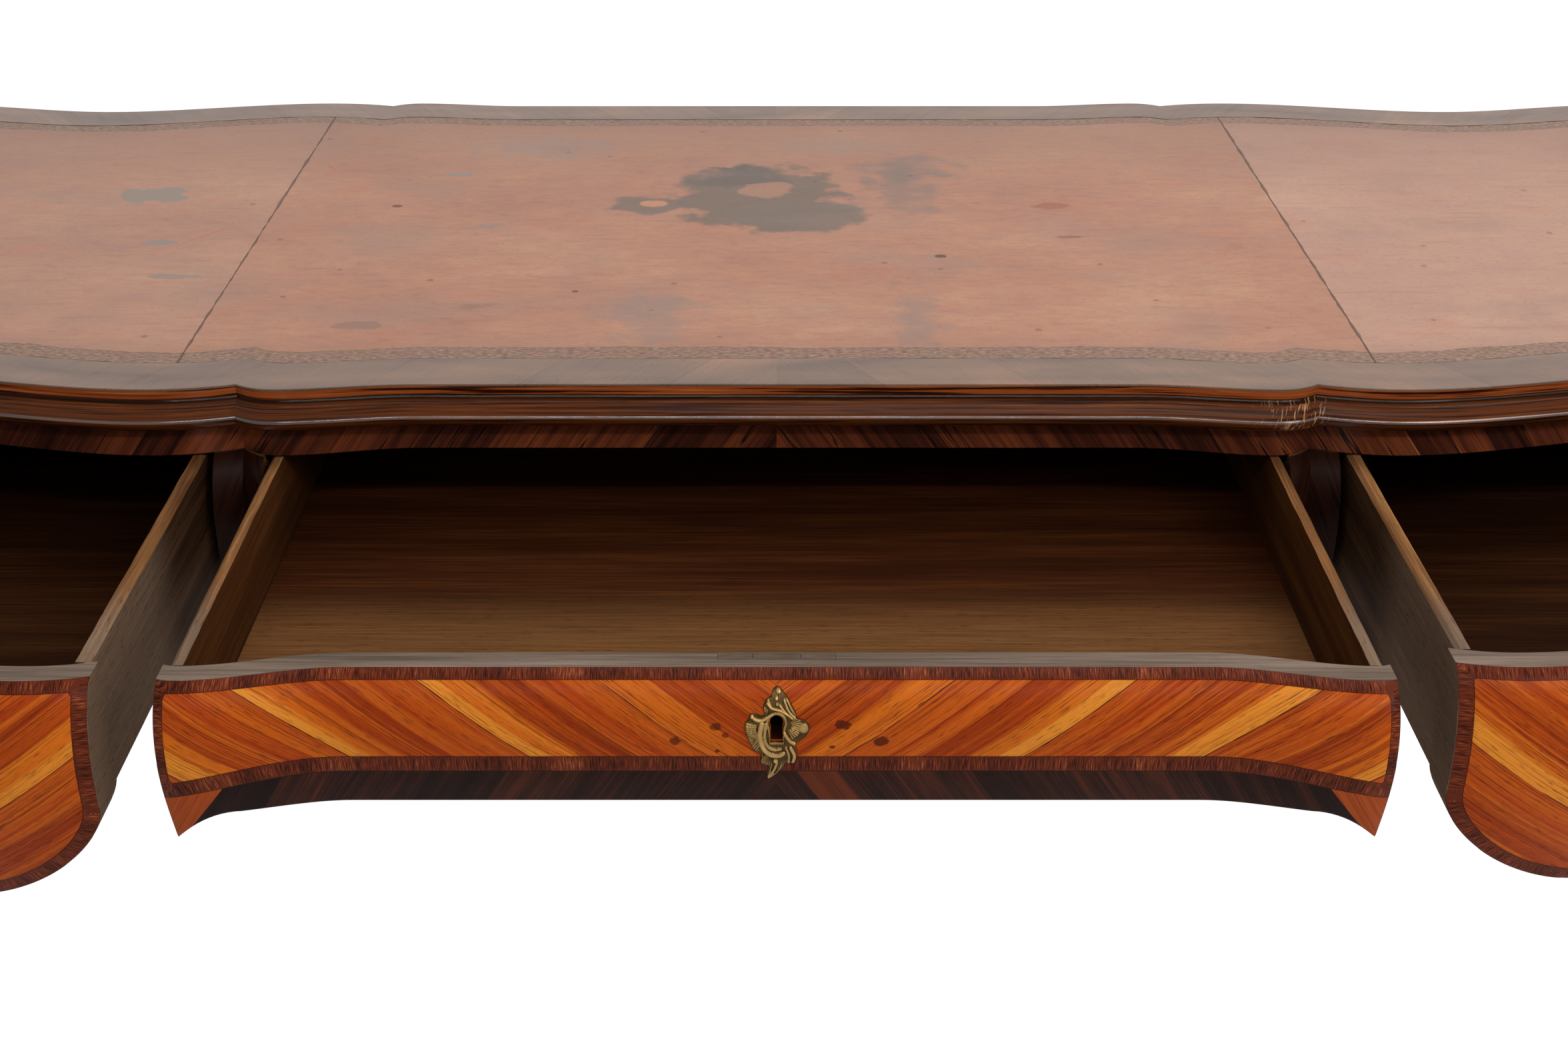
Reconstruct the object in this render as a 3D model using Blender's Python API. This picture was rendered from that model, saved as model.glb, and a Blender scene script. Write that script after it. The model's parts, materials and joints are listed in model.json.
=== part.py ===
"""Serpentine bureau plat: a leather-topped writing table with three drawers in its frieze.

Every piece is its own object, in metres, +Z up, with the sitter's side facing -Y. The case is modelled
round its own centre line with the drawers shut; each drawer hangs on an empty that draws it out.
"""

import math

import bmesh
import bpy
from mathutils import Matrix, Vector

# Overall sizes
HEIGHT = 0.780            # floor to writing surface
HALF_WIDTH = 0.875        # centre line to the arris at each end of the top
HALF_DEPTH = 0.372        # centre line to the arris on the straight middle of the front
GAP = 0.0003              # glue line between two pieces that touch
PLAY = 0.0015             # room round a drawer in its opening

# Serpentine plan of front and back
CUSP_X = 0.400            # the sharp notch between two drawers
SHOULDER_RUN = 0.028      # cusp to the crest of the shoulder inside it
SWAY_RUN = 0.104          # crest of the shoulder to the straight middle
LOBE_RUN = 0.065          # cusp to the crest of the lobe outside it
HOLLOW_INSET = 0.185      # end of the top to the deepest point of the hollow
TOP_CREST = 0.010         # how far the crests of the top stand forward
FRAME_CREST = 0.014       # the same on the frieze below it
CENTRE_CREST = 0.017      # the same on the centre drawer
HOLLOW = 0.022            # how far the hollow lies back
CORNER_OUT = 0.005        # how far the corner stands forward
END_HOLLOW = 0.014        # depth of the two hollows in each end of the top

# Top: leather and veneered band lie on a core board, and a moulding goes round it
SKIN = 0.0018             # thickness of leather and band
BAND_WIDTH = 0.050
SEAM_X = 0.453            # seam between the leather panels
MOULD_HEIGHT = 0.030      # writing surface to the moulding's lower edge
MOULD_SEAT = 0.012        # the moulding's depth behind the arris
MOULD_PROUD = 0.0135      # the moulding's reach past the arris
FILLET = 0.0085           # upright strip at the top of the moulding
QUIRK_BACK = 0.15         # groove under the fillet, as a share of the moulding's reach
QUIRK_DEEP = 0.10         # height of that groove, as a share of the height below the fillet
OGEE_TOP = 0.12           # start of the ogee, as a share of the same height
OGEE_REACH = 0.20         # reach of the ogee at its start, as a share of the moulding's reach
BEAD = 0.34               # radius of the bottom bead, as a share of the same height

# Frieze
RAIL_HEIGHT = 0.024
RAIL_DEPTH = 0.047
FACE_SETBACK = 0.005      # arris of the top to the face of rail and drawers
DIVIDER_X = 0.40175       # middle of the stile between two drawers
DIVIDER_WIDTH = 0.0385
DIVIDER_DROP = 0.1075     # drawer top to the divider's foot
DIVIDER_DEPTH = 0.0217    # the divider behind the bottom of its groove
PARTITION = 0.016
BEARER_LEDGE = 0.0185     # width of the ledge a drawer side runs on
BEARER_RISE = 0.015       # guide between two ledges, above the centre drawer's ledge
BEARER_DEPTH = 0.0105     # wood below the lower ledge
BACK_RAIL = 0.020
APRON_MIN = 0.0147        # thinnest place of the shaped back apron
FRIEZE = 0.020
FRIEZE_INSET = 0.007      # outer face of the leg to the face of the side frieze
FRIEZE_DROP = 0.150       # underside of the top to the frieze's lower edge at the legs
FRIEZE_ARCH = 0.032       # rise of that edge in the middle
FRIEZE_STEPS = 12         # facets along the side frieze
FRIEZE_ROWS = 7           # and down it

# Bombe section of the drawer fronts
BOMBE = 0.0225            # how far the belly stands forward
BOMBE_POWER = 0.66        # below one, the belly sits high
CENTRE_BELLY = 0.120      # height of the belly on the centre drawer
SIDE_BELLY = 0.165        # on the side drawers
DIVIDER_BELLY = 0.150
FRONT_THICK = 0.0175
FRONT_ROWS = 9            # facets down a front, crowded towards its top
APRON_ROWS = 8
ROW_CROWD = 1.3

# Lower edges of the drawer fronts, measured down from the drawer top
CENTRE_DROP = 0.0915
SPUR_DROP = 0.0245        # how much lower the spur at each end hangs
SPUR_RUN = 0.040
SIDE_DROP = 0.086         # straight inner edge of a side drawer
LOBE_DROP = 0.078         # lobe below it
LOBE_REACH = 0.105        # inner edge to the lobe's lowest point
LOBE_POWER = 1.6
ARCH_REACH = 0.160        # lobe to the crown of the arch beside the leg
ARCH_RISE = 0.030
LEG_RETURN = 0.022        # how far the edge falls again towards the leg

# Drawer boxes
CENTRE_BOX = 0.0765       # height of the sides
SIDE_BOX = 0.097
SIDE_BOARD = 0.009
BACK_BOARD = 0.009
BACK_LOW = 0.003          # the back's top edge below the sides
BOTTOM_BOARD = 0.007
BOTTOM_LIFT = 0.0035      # bottom board above the lower edge of the sides
FRONT_ROOM = 0.0008       # sides and bottom to the curved front
CENTRE_INSET = 0.0035     # end of the front to the outer face of the side
SIDE_INSET = 0.0055       # the same on a side drawer
GUIDE_PLAY = 0.0025       # side of a drawer to the guide beside it
BACK_ROOM = 0.059         # shut drawer to the back rail
PULL_CENTRE = 0.3217
PULL_LEFT = 0.325
PULL_RIGHT = 0.308

# Locks and escutcheons
LOCK_WIDTH = 0.0735
LOCK_HEIGHT = 0.0445
LOCK_THICK = 0.009
BOLT_WIDTH = 0.030
BOLT_THICK = 0.0044
BOLT_HEIGHT = 0.020
BOLT_TRAVEL = 0.008
MORTISE_PLAY = 0.003
KEY_DROP = 0.0275         # drawer top to the centre of the key's round hole
KEY_RADIUS = 0.0042
KEY_SLOT = 0.0036         # half the width of the slot below it
KEY_LENGTH = 0.0115       # round hole's centre to the end of the slot
PLATE = 0.0022
PLATE_LIFT = 0.0008       # clear of the facets of the front
PLATE_ROWS = 5
PLATE_HOLE = 1.12         # hole in the plate, as a share of the keyhole in the wood
ESCUTCHEON_MM = (
    (1.3, 20), (4.2, 17.5), (7.2, 14.2), (9.4, 10.4), (12, 5.8), (12.9, 2.7), (16.9, 1.5), (20.4, -2.9),
    (18.6, -8.1), (14.3, -12.5), (12.1, -14), (12.5, -19.2), (12.9, -23.8), (11.2, -28.5), (8.6, -29.4),
    (5.5, -29.1), (4.2, -32.6), (0.7, -37.2), (-2, -40.7), (-5, -42.4), (-6, -39), (-5, -32), (-7.2, -31.1),
    (-10.1, -29.1), (-9.4, -24.4), (-10.7, -20.9), (-13.8, -19.8), (-16.4, -14), (-19.1, -6.4), (-19.5, -0.6),
    (-17.3, 1.9), (-16.4, 5), (-13.8, 5.4), (-11, 4.6), (-8.6, 4.3), (-7.2, 5), (-8.1, 8.1), (-8.1, 10.4),
    (-6.1, 13.8), (-3.3, 15.4), (-2.9, 17.3), (-1.1, 19.6),
)

# Legs: (place, reach past the stile, width) on the outer faces, top to bottom
LEG_INSET = 0.030         # arris at the end of the top to the stile's outer face
LEG_SETBACK = 0.012       # arris at the front of the top to the stile's front face
STILE = 0.068
LEG_ROUND = 0.18          # corner radius as a share of the leg's width
KNEE = (
    (0.0, 0.0, 0.0), (0.026, 0.0, 0.0), (0.060, 0.018, 0.018), (0.092, 0.022, 0.022), (0.140, 0.014, 0.014)
)
SHANK = ((0.12, 0.004, 0.065), (0.25, -0.006, 0.052), (0.45, -0.016, 0.042), (0.70, -0.020, 0.035))
ANKLE = 0.110             # height of the thinnest place
ANKLE_OUT = -0.014
ANKLE_WIDTH = 0.030
SABOT_HEIGHT = 0.052
SABOT_FLOOR = 0.008
SABOT_WALL = 0.0022
SABOT_TOE = 0.011         # how far the shoe's sole spreads
TIP_OUT = -0.006
TIP_WIDTH = 0.032
END_STEPS = 16            # facets along each end of the top
SHARP_ANGLE = math.radians(35)

# Levels and planes worked out from the sizes above
SKIN_Z = HEIGHT - SKIN
BOARD_TOP = SKIN_Z - GAP
CASE_TOP = HEIGHT - MOULD_HEIGHT - GAP
RAIL_Z = CASE_TOP - RAIL_HEIGHT
DRAWER_Z = RAIL_Z - PLAY
DIVIDER_FOOT = DRAWER_Z - DIVIDER_DROP
SHOULDER_X = CUSP_X - SHOULDER_RUN
STRAIGHT_X = SHOULDER_X - SWAY_RUN
LOBE_X = CUSP_X + LOBE_RUN
HOLLOW_X = HALF_WIDTH - HOLLOW_INSET
FACE_Y = HALF_DEPTH - FACE_SETBACK
RAIL_BACK = FACE_Y - RAIL_DEPTH
DIVIDER_BACK = FACE_Y - DIVIDER_DEPTH
LEG_X = HALF_WIDTH - LEG_INSET
LEG_Y = HALF_DEPTH - LEG_SETBACK
LEG_IN_X = LEG_X - STILE
LEG_IN_Y = LEG_Y - STILE
APRON_IN = FACE_Y - HOLLOW - APRON_MIN
BACK_RAIL_OUT = APRON_IN - GAP
BACK_RAIL_IN = BACK_RAIL_OUT - BACK_RAIL
BOX_END = BACK_RAIL_IN - BACK_ROOM
CENTRE_END = DIVIDER_X - DIVIDER_WIDTH / 2 - PLAY
SIDE_START = DIVIDER_X + DIVIDER_WIDTH / 2 + PLAY
SIDE_END = LEG_IN_X - PLAY
SIDE_LOCK_X = (SIDE_START + SIDE_END) / 2

# Colours as linear values with roughness and metallic
LEATHER = ((0.49, 0.27, 0.18), 0.55, 0.0)
KINGWOOD = ((0.10, 0.028, 0.014), 0.30, 0.0)
BAND = ((0.25, 0.18, 0.15), 0.35, 0.0)
MOULDING = ((0.11, 0.032, 0.012), 0.25, 0.0)
TULIPWOOD = ((0.58, 0.19, 0.035), 0.32, 0.0)
OAK = ((0.13, 0.075, 0.040), 0.65, 0.0)
BRASS = ((0.36, 0.25, 0.09), 0.35, 1.0)
IRON = ((0.11, 0.09, 0.075), 0.55, 0.9)

MIRROR_NAMES = {1: "right", -1: "left"}
DEPTH_NAMES = {-1: "front", 1: "back"}


def clear_scene():
    """Remove whatever the file opened with."""
    for old in list(bpy.data.objects):
        bpy.data.objects.remove(old)


def finish(name, look):
    """A Principled material for one piece."""
    colour, roughness, metallic = look
    made = bpy.data.materials.new(name)
    made.use_nodes = True
    shader = made.node_tree.nodes["Principled BSDF"]
    shader.inputs["Base Color"].default_value = (*colour, 1.0)
    shader.inputs["Roughness"].default_value = roughness
    shader.inputs["Metallic"].default_value = metallic
    return made


def empty(name, location, parent):
    """A frame that pieces hang on."""
    made = bpy.data.objects.new(name, None)
    made.location = location
    made.parent = parent
    bpy.context.collection.objects.link(made)
    return made


def place(name, bm, look, parent, smooth=False):
    """Close a bmesh into a named object under its parent."""
    bmesh.ops.recalc_face_normals(bm, faces=bm.faces)
    mesh = bpy.data.meshes.new(name)
    bm.to_mesh(mesh)
    bm.free()
    if smooth:
        mesh.shade_smooth()
        mesh.set_sharp_from_angle(angle=SHARP_ANGLE)
    made = bpy.data.objects.new(name, mesh)
    if look:
        mesh.materials.append(finish(name, look))
    made.parent = parent
    bpy.context.collection.objects.link(made)
    return made


def loft(rings):
    """A closed body through equal rings of points, capped at both ends."""
    bm = bmesh.new()
    loops = [[bm.verts.new(point) for point in ring] for ring in rings]
    for near, far in zip(loops, loops[1:]):
        for i in range(len(near)):
            j = (i + 1) % len(near)
            bm.faces.new((near[i], near[j], far[j], far[i]))
    bm.faces.new(loops[0][::-1])
    bm.faces.new(loops[-1])
    return bm


def slab(outline, low, high):
    """An outline in plan, extruded from one level to another."""
    bm = bmesh.new()
    base = bm.faces.new([bm.verts.new((x, y, low)) for x, y in outline])
    risen = bmesh.ops.extrude_face_region(bm, geom=[base])["geom"]
    lifted = [item for item in risen if isinstance(item, bmesh.types.BMVert)]
    bmesh.ops.translate(bm, verts=lifted, vec=(0, 0, high - low))
    return bm


def block(low, high):
    """A squared board between two corners."""
    bm = bmesh.new()
    bmesh.ops.create_cube(bm, size=1.0)
    low, high = Vector(low), Vector(high)
    bmesh.ops.scale(bm, verts=bm.verts, vec=high - low)
    bmesh.ops.translate(bm, verts=bm.verts, vec=(low + high) / 2)
    return bm


def cut(target, name, bm, frame):
    """Cut a hidden shape, set in its own frame, out of a piece."""
    bmesh.ops.transform(bm, matrix=frame, verts=bm.verts)
    cutter = place(name, bm, None, target.parent)
    cutter.hide_render = True
    cutter.display_type = "WIRE"
    modifier = target.modifiers.new(name, "BOOLEAN")
    modifier.operation = "DIFFERENCE"
    modifier.solver = "EXACT"
    modifier.object = cutter


def ease(share):
    """Smooth step from 0 to 1."""
    share = min(max(share, 0.0), 1.0)
    return share * share * (3 - 2 * share)


def sway(x, crest):
    """How far the serpentine plan stands forward of its straight middle."""
    a = abs(x)
    if a <= SHOULDER_X:
        return crest * ease((a - STRAIGHT_X) / SWAY_RUN)
    if a <= CUSP_X:
        return crest * (1 - ((a - SHOULDER_X) / SHOULDER_RUN) ** 2)
    if a <= LOBE_X:
        return crest * (1 - ((LOBE_X - a) / LOBE_RUN) ** 2)
    if a <= HOLLOW_X:
        return crest - (crest + HOLLOW) * ease((a - LOBE_X) / (HOLLOW_X - LOBE_X))
    return (HOLLOW + CORNER_OUT) * ease((a - HOLLOW_X) / HOLLOW_INSET) - HOLLOW


def frame_sway(x):
    """How far the rail and the back swing out in plan at x."""
    return sway(x, FRAME_CREST)


def face_sway(x):
    """How far a drawer or divider swings forward in plan at x."""
    return sway(x, CENTRE_CREST if abs(x) < CUSP_X else FRAME_CREST)


def bombe(drop, belly):
    """How far a front bellies forward at a drop below the drawer top."""
    share = min(max(drop / belly, 0.0), 1.0)
    return BOMBE * math.sin(math.pi * share ** BOMBE_POWER)


def stations(start, end):
    """x of the sections between two places, close together where the plan turns."""
    turns = ((0.0, 2), (STRAIGHT_X, 5), (SHOULDER_X, 3), (CUSP_X, 4), (LOBE_X, 6), (HOLLOW_X, 5))
    limits = [turn for turn, _ in turns[1:]] + [HALF_WIDTH]
    half = [0.0]
    for (turn, count), limit in zip(turns, limits):
        half += [turn + (limit - turn) * (i + 1) / count for i in range(count)]
    whole = sorted({-x for x in half} | set(half))
    inside = [x for x in whole if start + GAP < x < end - GAP]
    return [start] + inside + [end]


def edge_point(x, reach, short=0.0):
    """Front edge of the top at a reach past the arris; x runs to HALF_WIDTH, where the mitre is."""
    beyond = max(abs(x) - HOLLOW_X, 0.0) * (HOLLOW_INSET + reach - short) / HOLLOW_INSET
    along = math.copysign(min(abs(x), HOLLOW_X) + beyond, x)
    return along, -(HALF_DEPTH + sway(along, TOP_CREST) + reach)


def edge_run(section):
    """Rings of a mitred strip along the front edge; section is (reach past the arris, z)."""
    xs = stations(-HALF_WIDTH, HALF_WIDTH)
    return [[(*edge_point(x, reach, GAP), z) for reach, z in section] for x in xs]


def end_x(share, reach):
    """x of the right-hand end of the top; share runs from -1 to 1 along it."""
    return HALF_WIDTH + reach - END_HOLLOW * math.sin(math.pi * share) ** 2


def end_run(section):
    """Rings of a mitred strip along the right-hand end of the top."""
    rings = []
    for i in range(END_STEPS + 1):
        share = 2 * i / END_STEPS - 1
        ring = []
        for reach, z in section:
            half = HALF_DEPTH + reach + sway(HALF_WIDTH + reach, TOP_CREST) - GAP
            ring.append((end_x(share, reach), share * half, z))
        rings.append(ring)
    return rings


def edge_strips(name, section, look, parent, smooth):
    """The same strip on all four edges of the top."""
    for label, rings, turned in (
        ("front", edge_run(section), False),
        ("back", edge_run(section), True),
        ("right", end_run(section), False),
        ("left", end_run(section), True),
    ):
        bm = loft(rings)
        if turned:
            bmesh.ops.rotate(bm, verts=bm.verts, matrix=Matrix.Rotation(math.pi, 3, "Z"))
        place(f"{name}_{label}", bm, look, parent, smooth)


def top_outline(start, end, reach):
    """Plan of the top's front and back between two x, at a reach past the arris."""
    front = [edge_point(x, reach) for x in stations(start, end)]
    back = [(x, -y) for x, y in reversed(front)]
    return front, back


def end_points(reach, side):
    """Inner points of the top's end between its corners, front to back."""
    half = HALF_DEPTH + reach + sway(HALF_WIDTH + reach, TOP_CREST)
    shares = [2 * i / END_STEPS - 1 for i in range(1, END_STEPS)]
    return [(side * end_x(share, reach), share * half) for share in shares]


def build_top(parent):
    """Core board, leather panels, veneered band and moulding."""
    reach = -MOULD_SEAT - GAP
    front, back = top_outline(-HALF_WIDTH, HALF_WIDTH, reach)
    outline = front + end_points(reach, 1) + back + end_points(reach, -1)[::-1]
    place("top_panel", slab(outline, CASE_TOP + GAP, BOARD_TOP), OAK, parent)

    reach = -BAND_WIDTH - GAP
    front, back = top_outline(-SEAM_X + GAP, SEAM_X - GAP, reach)
    place("leather_centre", slab(front + back, SKIN_Z, HEIGHT), LEATHER, parent)
    front, back = top_outline(SEAM_X, HALF_WIDTH, reach)
    place("leather_right", slab(front + end_points(reach, 1) + back, SKIN_Z, HEIGHT), LEATHER, parent)
    front, back = top_outline(-HALF_WIDTH, -SEAM_X, reach)
    place("leather_left", slab(front + back + end_points(reach, -1)[::-1], SKIN_Z, HEIGHT), LEATHER, parent)

    band = ((-BAND_WIDTH, SKIN_Z), (0.0, SKIN_Z), (0.0, HEIGHT), (-BAND_WIDTH, HEIGHT))
    edge_strips("top_band", band, BAND, parent, False)
    edge_strips("edge_moulding", moulding_section(), MOULDING, parent, True)


def moulding_section():
    """Fillet, groove, swelling ogee and bottom bead, as (reach past the arris, z)."""
    foot = HEIGHT - MOULD_HEIGHT
    quirk = HEIGHT - FILLET
    height = quirk - foot
    bead = BEAD * height
    start = quirk - OGEE_TOP * height
    section = [(-MOULD_SEAT, foot), (-MOULD_SEAT, BOARD_TOP), (0.0, BOARD_TOP), (0.0, quirk)]
    section.append((-QUIRK_BACK * MOULD_PROUD, quirk - QUIRK_DEEP * height))
    for i in range(4):
        share = i / 3
        reach = MOULD_PROUD * (OGEE_REACH + (1 - OGEE_REACH) * ease(share))
        section.append((reach, start - share * (start - foot - bead)))
    for i in range(1, 5):
        turn = math.pi / 2 * i / 4
        section.append((MOULD_PROUD - bead * (1 - math.cos(turn)), foot + bead - bead * math.sin(turn)))
    return section


def front_rings(xs, drop_at, belly, rows, back_at, sway_at=face_sway):
    """Rings of a bombe front; back_at gives how far forward its inner face stands."""
    rings = []
    for x in xs:
        face = FACE_Y + sway_at(x)
        foot = drop_at(x)
        ring = [(x, -back_at(x), DRAWER_Z)]
        for i in range(rows + 1):
            drop = foot * (i / rows) ** ROW_CROWD
            ring.append((x, -(face + bombe(drop, belly)), DRAWER_Z - drop))
        ring.append((x, -back_at(x), DRAWER_Z - foot))
        rings.append(ring)
    return rings


def curved_back(x):
    """Inner face of a drawer front, parallel to the plan of its outer face."""
    return FACE_Y + face_sway(x) - FRONT_THICK


def centre_drop(x):
    """Lower edge of the centre front, with a spur at each end."""
    share = max(abs(x) - (CENTRE_END - SPUR_RUN), 0.0) / SPUR_RUN
    return CENTRE_DROP + SPUR_DROP * share ** 2


def side_drop(x):
    """Lower edge of a side front: inner edge, lobe, arch and return to the leg."""
    along = abs(x) - SIDE_START
    if along < LOBE_REACH:
        share = min(max(1 - along / LOBE_REACH, 0.0), 1.0)
        return SIDE_DROP + LOBE_DROP * (1 - share ** LOBE_POWER) ** (1 / LOBE_POWER)
    lowest = SIDE_DROP + LOBE_DROP
    crown = along - LOBE_REACH
    left = SIDE_END - SIDE_START - LOBE_REACH - ARCH_REACH
    return lowest - ARCH_RISE * ease(crown / ARCH_REACH) + LEG_RETURN * ease((crown - ARCH_REACH) / left)


def build_frame(parent):
    """Rails, dividers, partitions, bearers and friezes."""
    run = LEG_IN_X - GAP
    rings = []
    for x in stations(-run, run):
        face = -(FACE_Y + frame_sway(x))
        section = ((-RAIL_BACK, RAIL_Z), (face, RAIL_Z), (face, CASE_TOP), (-RAIL_BACK, CASE_TOP))
        rings.append([(x, y, z) for y, z in section])
    rail = place("front_rail", loft(rings), KINGWOOD, parent)
    back_rail = block((-run, BACK_RAIL_IN, DIVIDER_FOOT), (run, BACK_RAIL_OUT, CASE_TOP))
    place("back_rail", back_rail, OAK, parent)

    for side, label in MIRROR_NAMES.items():
        low, high = sorted((side * (DIVIDER_X - DIVIDER_WIDTH / 2), side * (DIVIDER_X + DIVIDER_WIDTH / 2)))
        xs = stations(low, high)
        rings = front_rings(xs, lambda x: DIVIDER_DROP, DIVIDER_BELLY, FRONT_ROWS, lambda x: DIVIDER_BACK)
        divider = loft(rings)
        rise = [v for v in divider.verts if v.co.z > DRAWER_Z - GAP]
        bmesh.ops.translate(divider, verts=rise, vec=(0, 0, PLAY - GAP))
        place(f"divider_{label}", divider, KINGWOOD, parent)
        build_bearers(side, label, parent)
        build_frieze(side, label, parent)

    aprons = {
        "centre": (-CUSP_X + GAP, CUSP_X - GAP, lambda x: CENTRE_DROP, CENTRE_BELLY),
        "right": (CUSP_X, run, side_drop, SIDE_BELLY),
        "left": (-run, -CUSP_X, side_drop, SIDE_BELLY),
    }
    for label, (start, end, drop_at, belly) in aprons.items():
        xs = stations(start, end)
        rings = front_rings(xs, drop_at, belly, APRON_ROWS, lambda x: APRON_IN, frame_sway)
        apron = loft(rings)
        for vert in apron.verts:
            vert.co.y = -vert.co.y
        top = [v for v in apron.verts if v.co.z > DRAWER_Z - GAP]
        bmesh.ops.translate(apron, verts=top, vec=(0, 0, CASE_TOP - DRAWER_Z))
        place(f"back_apron_{label}", apron, TULIPWOOD, parent)
    return rail


def build_bearers(side, label, parent):
    """The stepped bearer under a partition, the partition, and the bearer along the end."""
    centre_ledge = DRAWER_Z - CENTRE_BOX - GAP
    side_ledge = DRAWER_Z - SIDE_BOX - GAP
    floor = side_ledge - BEARER_DEPTH
    guide = centre_ledge + BEARER_RISE
    inner = CENTRE_END - CENTRE_INSET + GUIDE_PLAY
    outer = SIDE_START + SIDE_INSET - GUIDE_PLAY
    section = (
        (inner - BEARER_LEDGE, floor), (outer + BEARER_LEDGE, floor), (outer + BEARER_LEDGE, side_ledge),
        (outer, side_ledge), (outer, guide), (inner, guide), (inner, centre_ledge),
        (inner - BEARER_LEDGE, centre_ledge),
    )
    ends = (-DIVIDER_BACK + GAP, BACK_RAIL_IN - GAP)
    bearer = loft([[(side * x, y, z) for x, z in section] for y in ends])
    place(f"bearer_inner_{label}", bearer, OAK, parent)

    half = PARTITION / 2
    low, high = sorted((side * (CUSP_X - half), side * (CUSP_X + half)))
    web = block((low, -RAIL_BACK + GAP, guide + GAP), (high, BACK_RAIL_IN - GAP, CASE_TOP))
    place(f"partition_{label}", web, OAK, parent)

    start = -(FACE_Y - HOLLOW - FRONT_THICK) + PLAY
    low, high = sorted((side * (LEG_IN_X - GAP), side * (SIDE_END - BEARER_LEDGE)))
    strip = block((low, start, floor), (high, BACK_RAIL_IN - GAP, side_ledge))
    place(f"bearer_outer_{label}", strip, OAK, parent)


def build_frieze(side, label, parent):
    """Shaped board between the front and back leg of one end."""
    half = LEG_IN_Y - GAP
    face = LEG_X - FRIEZE_INSET
    rings = []
    for i in range(FRIEZE_STEPS + 1):
        y = half * (2 * i / FRIEZE_STEPS - 1)
        foot = FRIEZE_DROP - FRIEZE_ARCH * (1 - (y / half) ** 2)
        ring = [(side * (face - FRIEZE), y, CASE_TOP)]
        for row in range(FRIEZE_ROWS + 1):
            drop = foot * row / FRIEZE_ROWS
            ring.append((side * (face + bombe(drop - RAIL_HEIGHT, SIDE_BELLY)), y, CASE_TOP - drop))
        ring.append((side * (face - FRIEZE), y, CASE_TOP - foot))
        rings.append(ring)
    place(f"side_frieze_{label}", loft(rings), TULIPWOOD, parent, True)


def leg_stations():
    """(z, reach of the outer faces, width) of a leg, top to bottom."""
    knee = [(CASE_TOP - drop, out, STILE + extra) for drop, out, extra in KNEE]
    length = knee[-1][0] - ANKLE
    shank = [(knee[-1][0] - length * share, out, width) for share, out, width in SHANK]
    ankle = [(ANKLE, ANKLE_OUT, ANKLE_WIDTH), (SABOT_HEIGHT, TIP_OUT, TIP_WIDTH)]
    return knee + shank + ankle


def smooth_stations(points, steps):
    """Catmull-Rom curve through the stations."""
    path = []
    last = len(points) - 1
    for i in range(last):
        before, start, end, after = (Vector(points[min(max(k, 0), last)]) for k in range(i - 1, i + 3))
        for step in range(steps):
            t = step / steps
            bend = 2 * before - 5 * start + 4 * end - after
            twist = 3 * (start - end) + after - before
            path.append((2 * start + (end - before) * t + bend * t * t + twist * t ** 3) / 2)
    path.append(Vector(points[-1]))
    return path


def leg_ring(side, depth, z, out, width, grow=0.0):
    """Rounded square section of a leg; grow widens it on all sides."""
    high_x = LEG_X + out + grow
    high_y = LEG_Y + out + grow
    span = width + 2 * grow
    radius = span * LEG_ROUND
    ring = []
    for corner in range(4):
        middle_x = high_x - (radius if corner in (0, 3) else span - radius)
        middle_y = high_y - (radius if corner in (0, 1) else span - radius)
        for turn in range(3):
            angle = math.pi / 2 * (corner + turn / 2)
            x = middle_x + radius * math.cos(angle)
            y = middle_y + radius * math.sin(angle)
            ring.append((side * x, depth * y, z))
    return ring


def build_legs(parent):
    """Four cabriole legs, each standing in a brass shoe."""
    path = smooth_stations(leg_stations(), 2)
    for side, side_label in MIRROR_NAMES.items():
        for depth, depth_label in DEPTH_NAMES.items():
            label = f"{depth_label}_{side_label}"
            rings = [leg_ring(side, depth, z, out, min(width, STILE + out)) for z, out, width in path]
            rings.append(leg_ring(side, depth, SABOT_FLOOR + GAP, TIP_OUT, TIP_WIDTH))
            place(f"leg_{label}", loft(rings), KINGWOOD, parent, True)

            wall = SABOT_WALL + GAP
            rings = []
            for i in range(5):
                share = i / 4
                spread = SABOT_TOE * (1 - share) ** 2
                z = SABOT_HEIGHT * share - GAP * share
                rings.append(leg_ring(side, depth, z, TIP_OUT + spread, TIP_WIDTH + spread, wall))
            rings.append(leg_ring(side, depth, SABOT_HEIGHT - GAP, TIP_OUT, TIP_WIDTH, GAP))
            rings.append(leg_ring(side, depth, SABOT_FLOOR, TIP_OUT, TIP_WIDTH, GAP))
            place(f"sabot_{label}", loft(rings), BRASS, parent, True)


def drawer_box(label, start, end, height, inset, parent):
    """Sides, back and bottom between the two ends of a drawer front."""
    low = DRAWER_Z - height
    left = start + inset
    right = end - inset
    for name, near, far in (("left", left, left + SIDE_BOARD), ("right", right - SIDE_BOARD, right)):
        front = -min(curved_back(near), curved_back(far)) + FRONT_ROOM
        board = block((near, front, low), (far, BOX_END, DRAWER_Z))
        place(f"{label}_drawer_side_{name}", board, OAK, parent)

    left += SIDE_BOARD + GAP
    right -= SIDE_BOARD + GAP
    floor = low + BOTTOM_LIFT
    outline = [(x, -curved_back(x) + FRONT_ROOM) for x in stations(left, right)]
    outline += [(right, BOX_END), (left, BOX_END)]
    place(f"{label}_drawer_bottom", slab(outline, floor, floor + BOTTOM_BOARD), OAK, parent)
    seat = floor + BOTTOM_BOARD + GAP
    back = block((left, BOX_END - BACK_BOARD, seat), (right, BOX_END, DRAWER_Z - BACK_LOW))
    place(f"{label}_drawer_back", back, OAK, parent)


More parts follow.
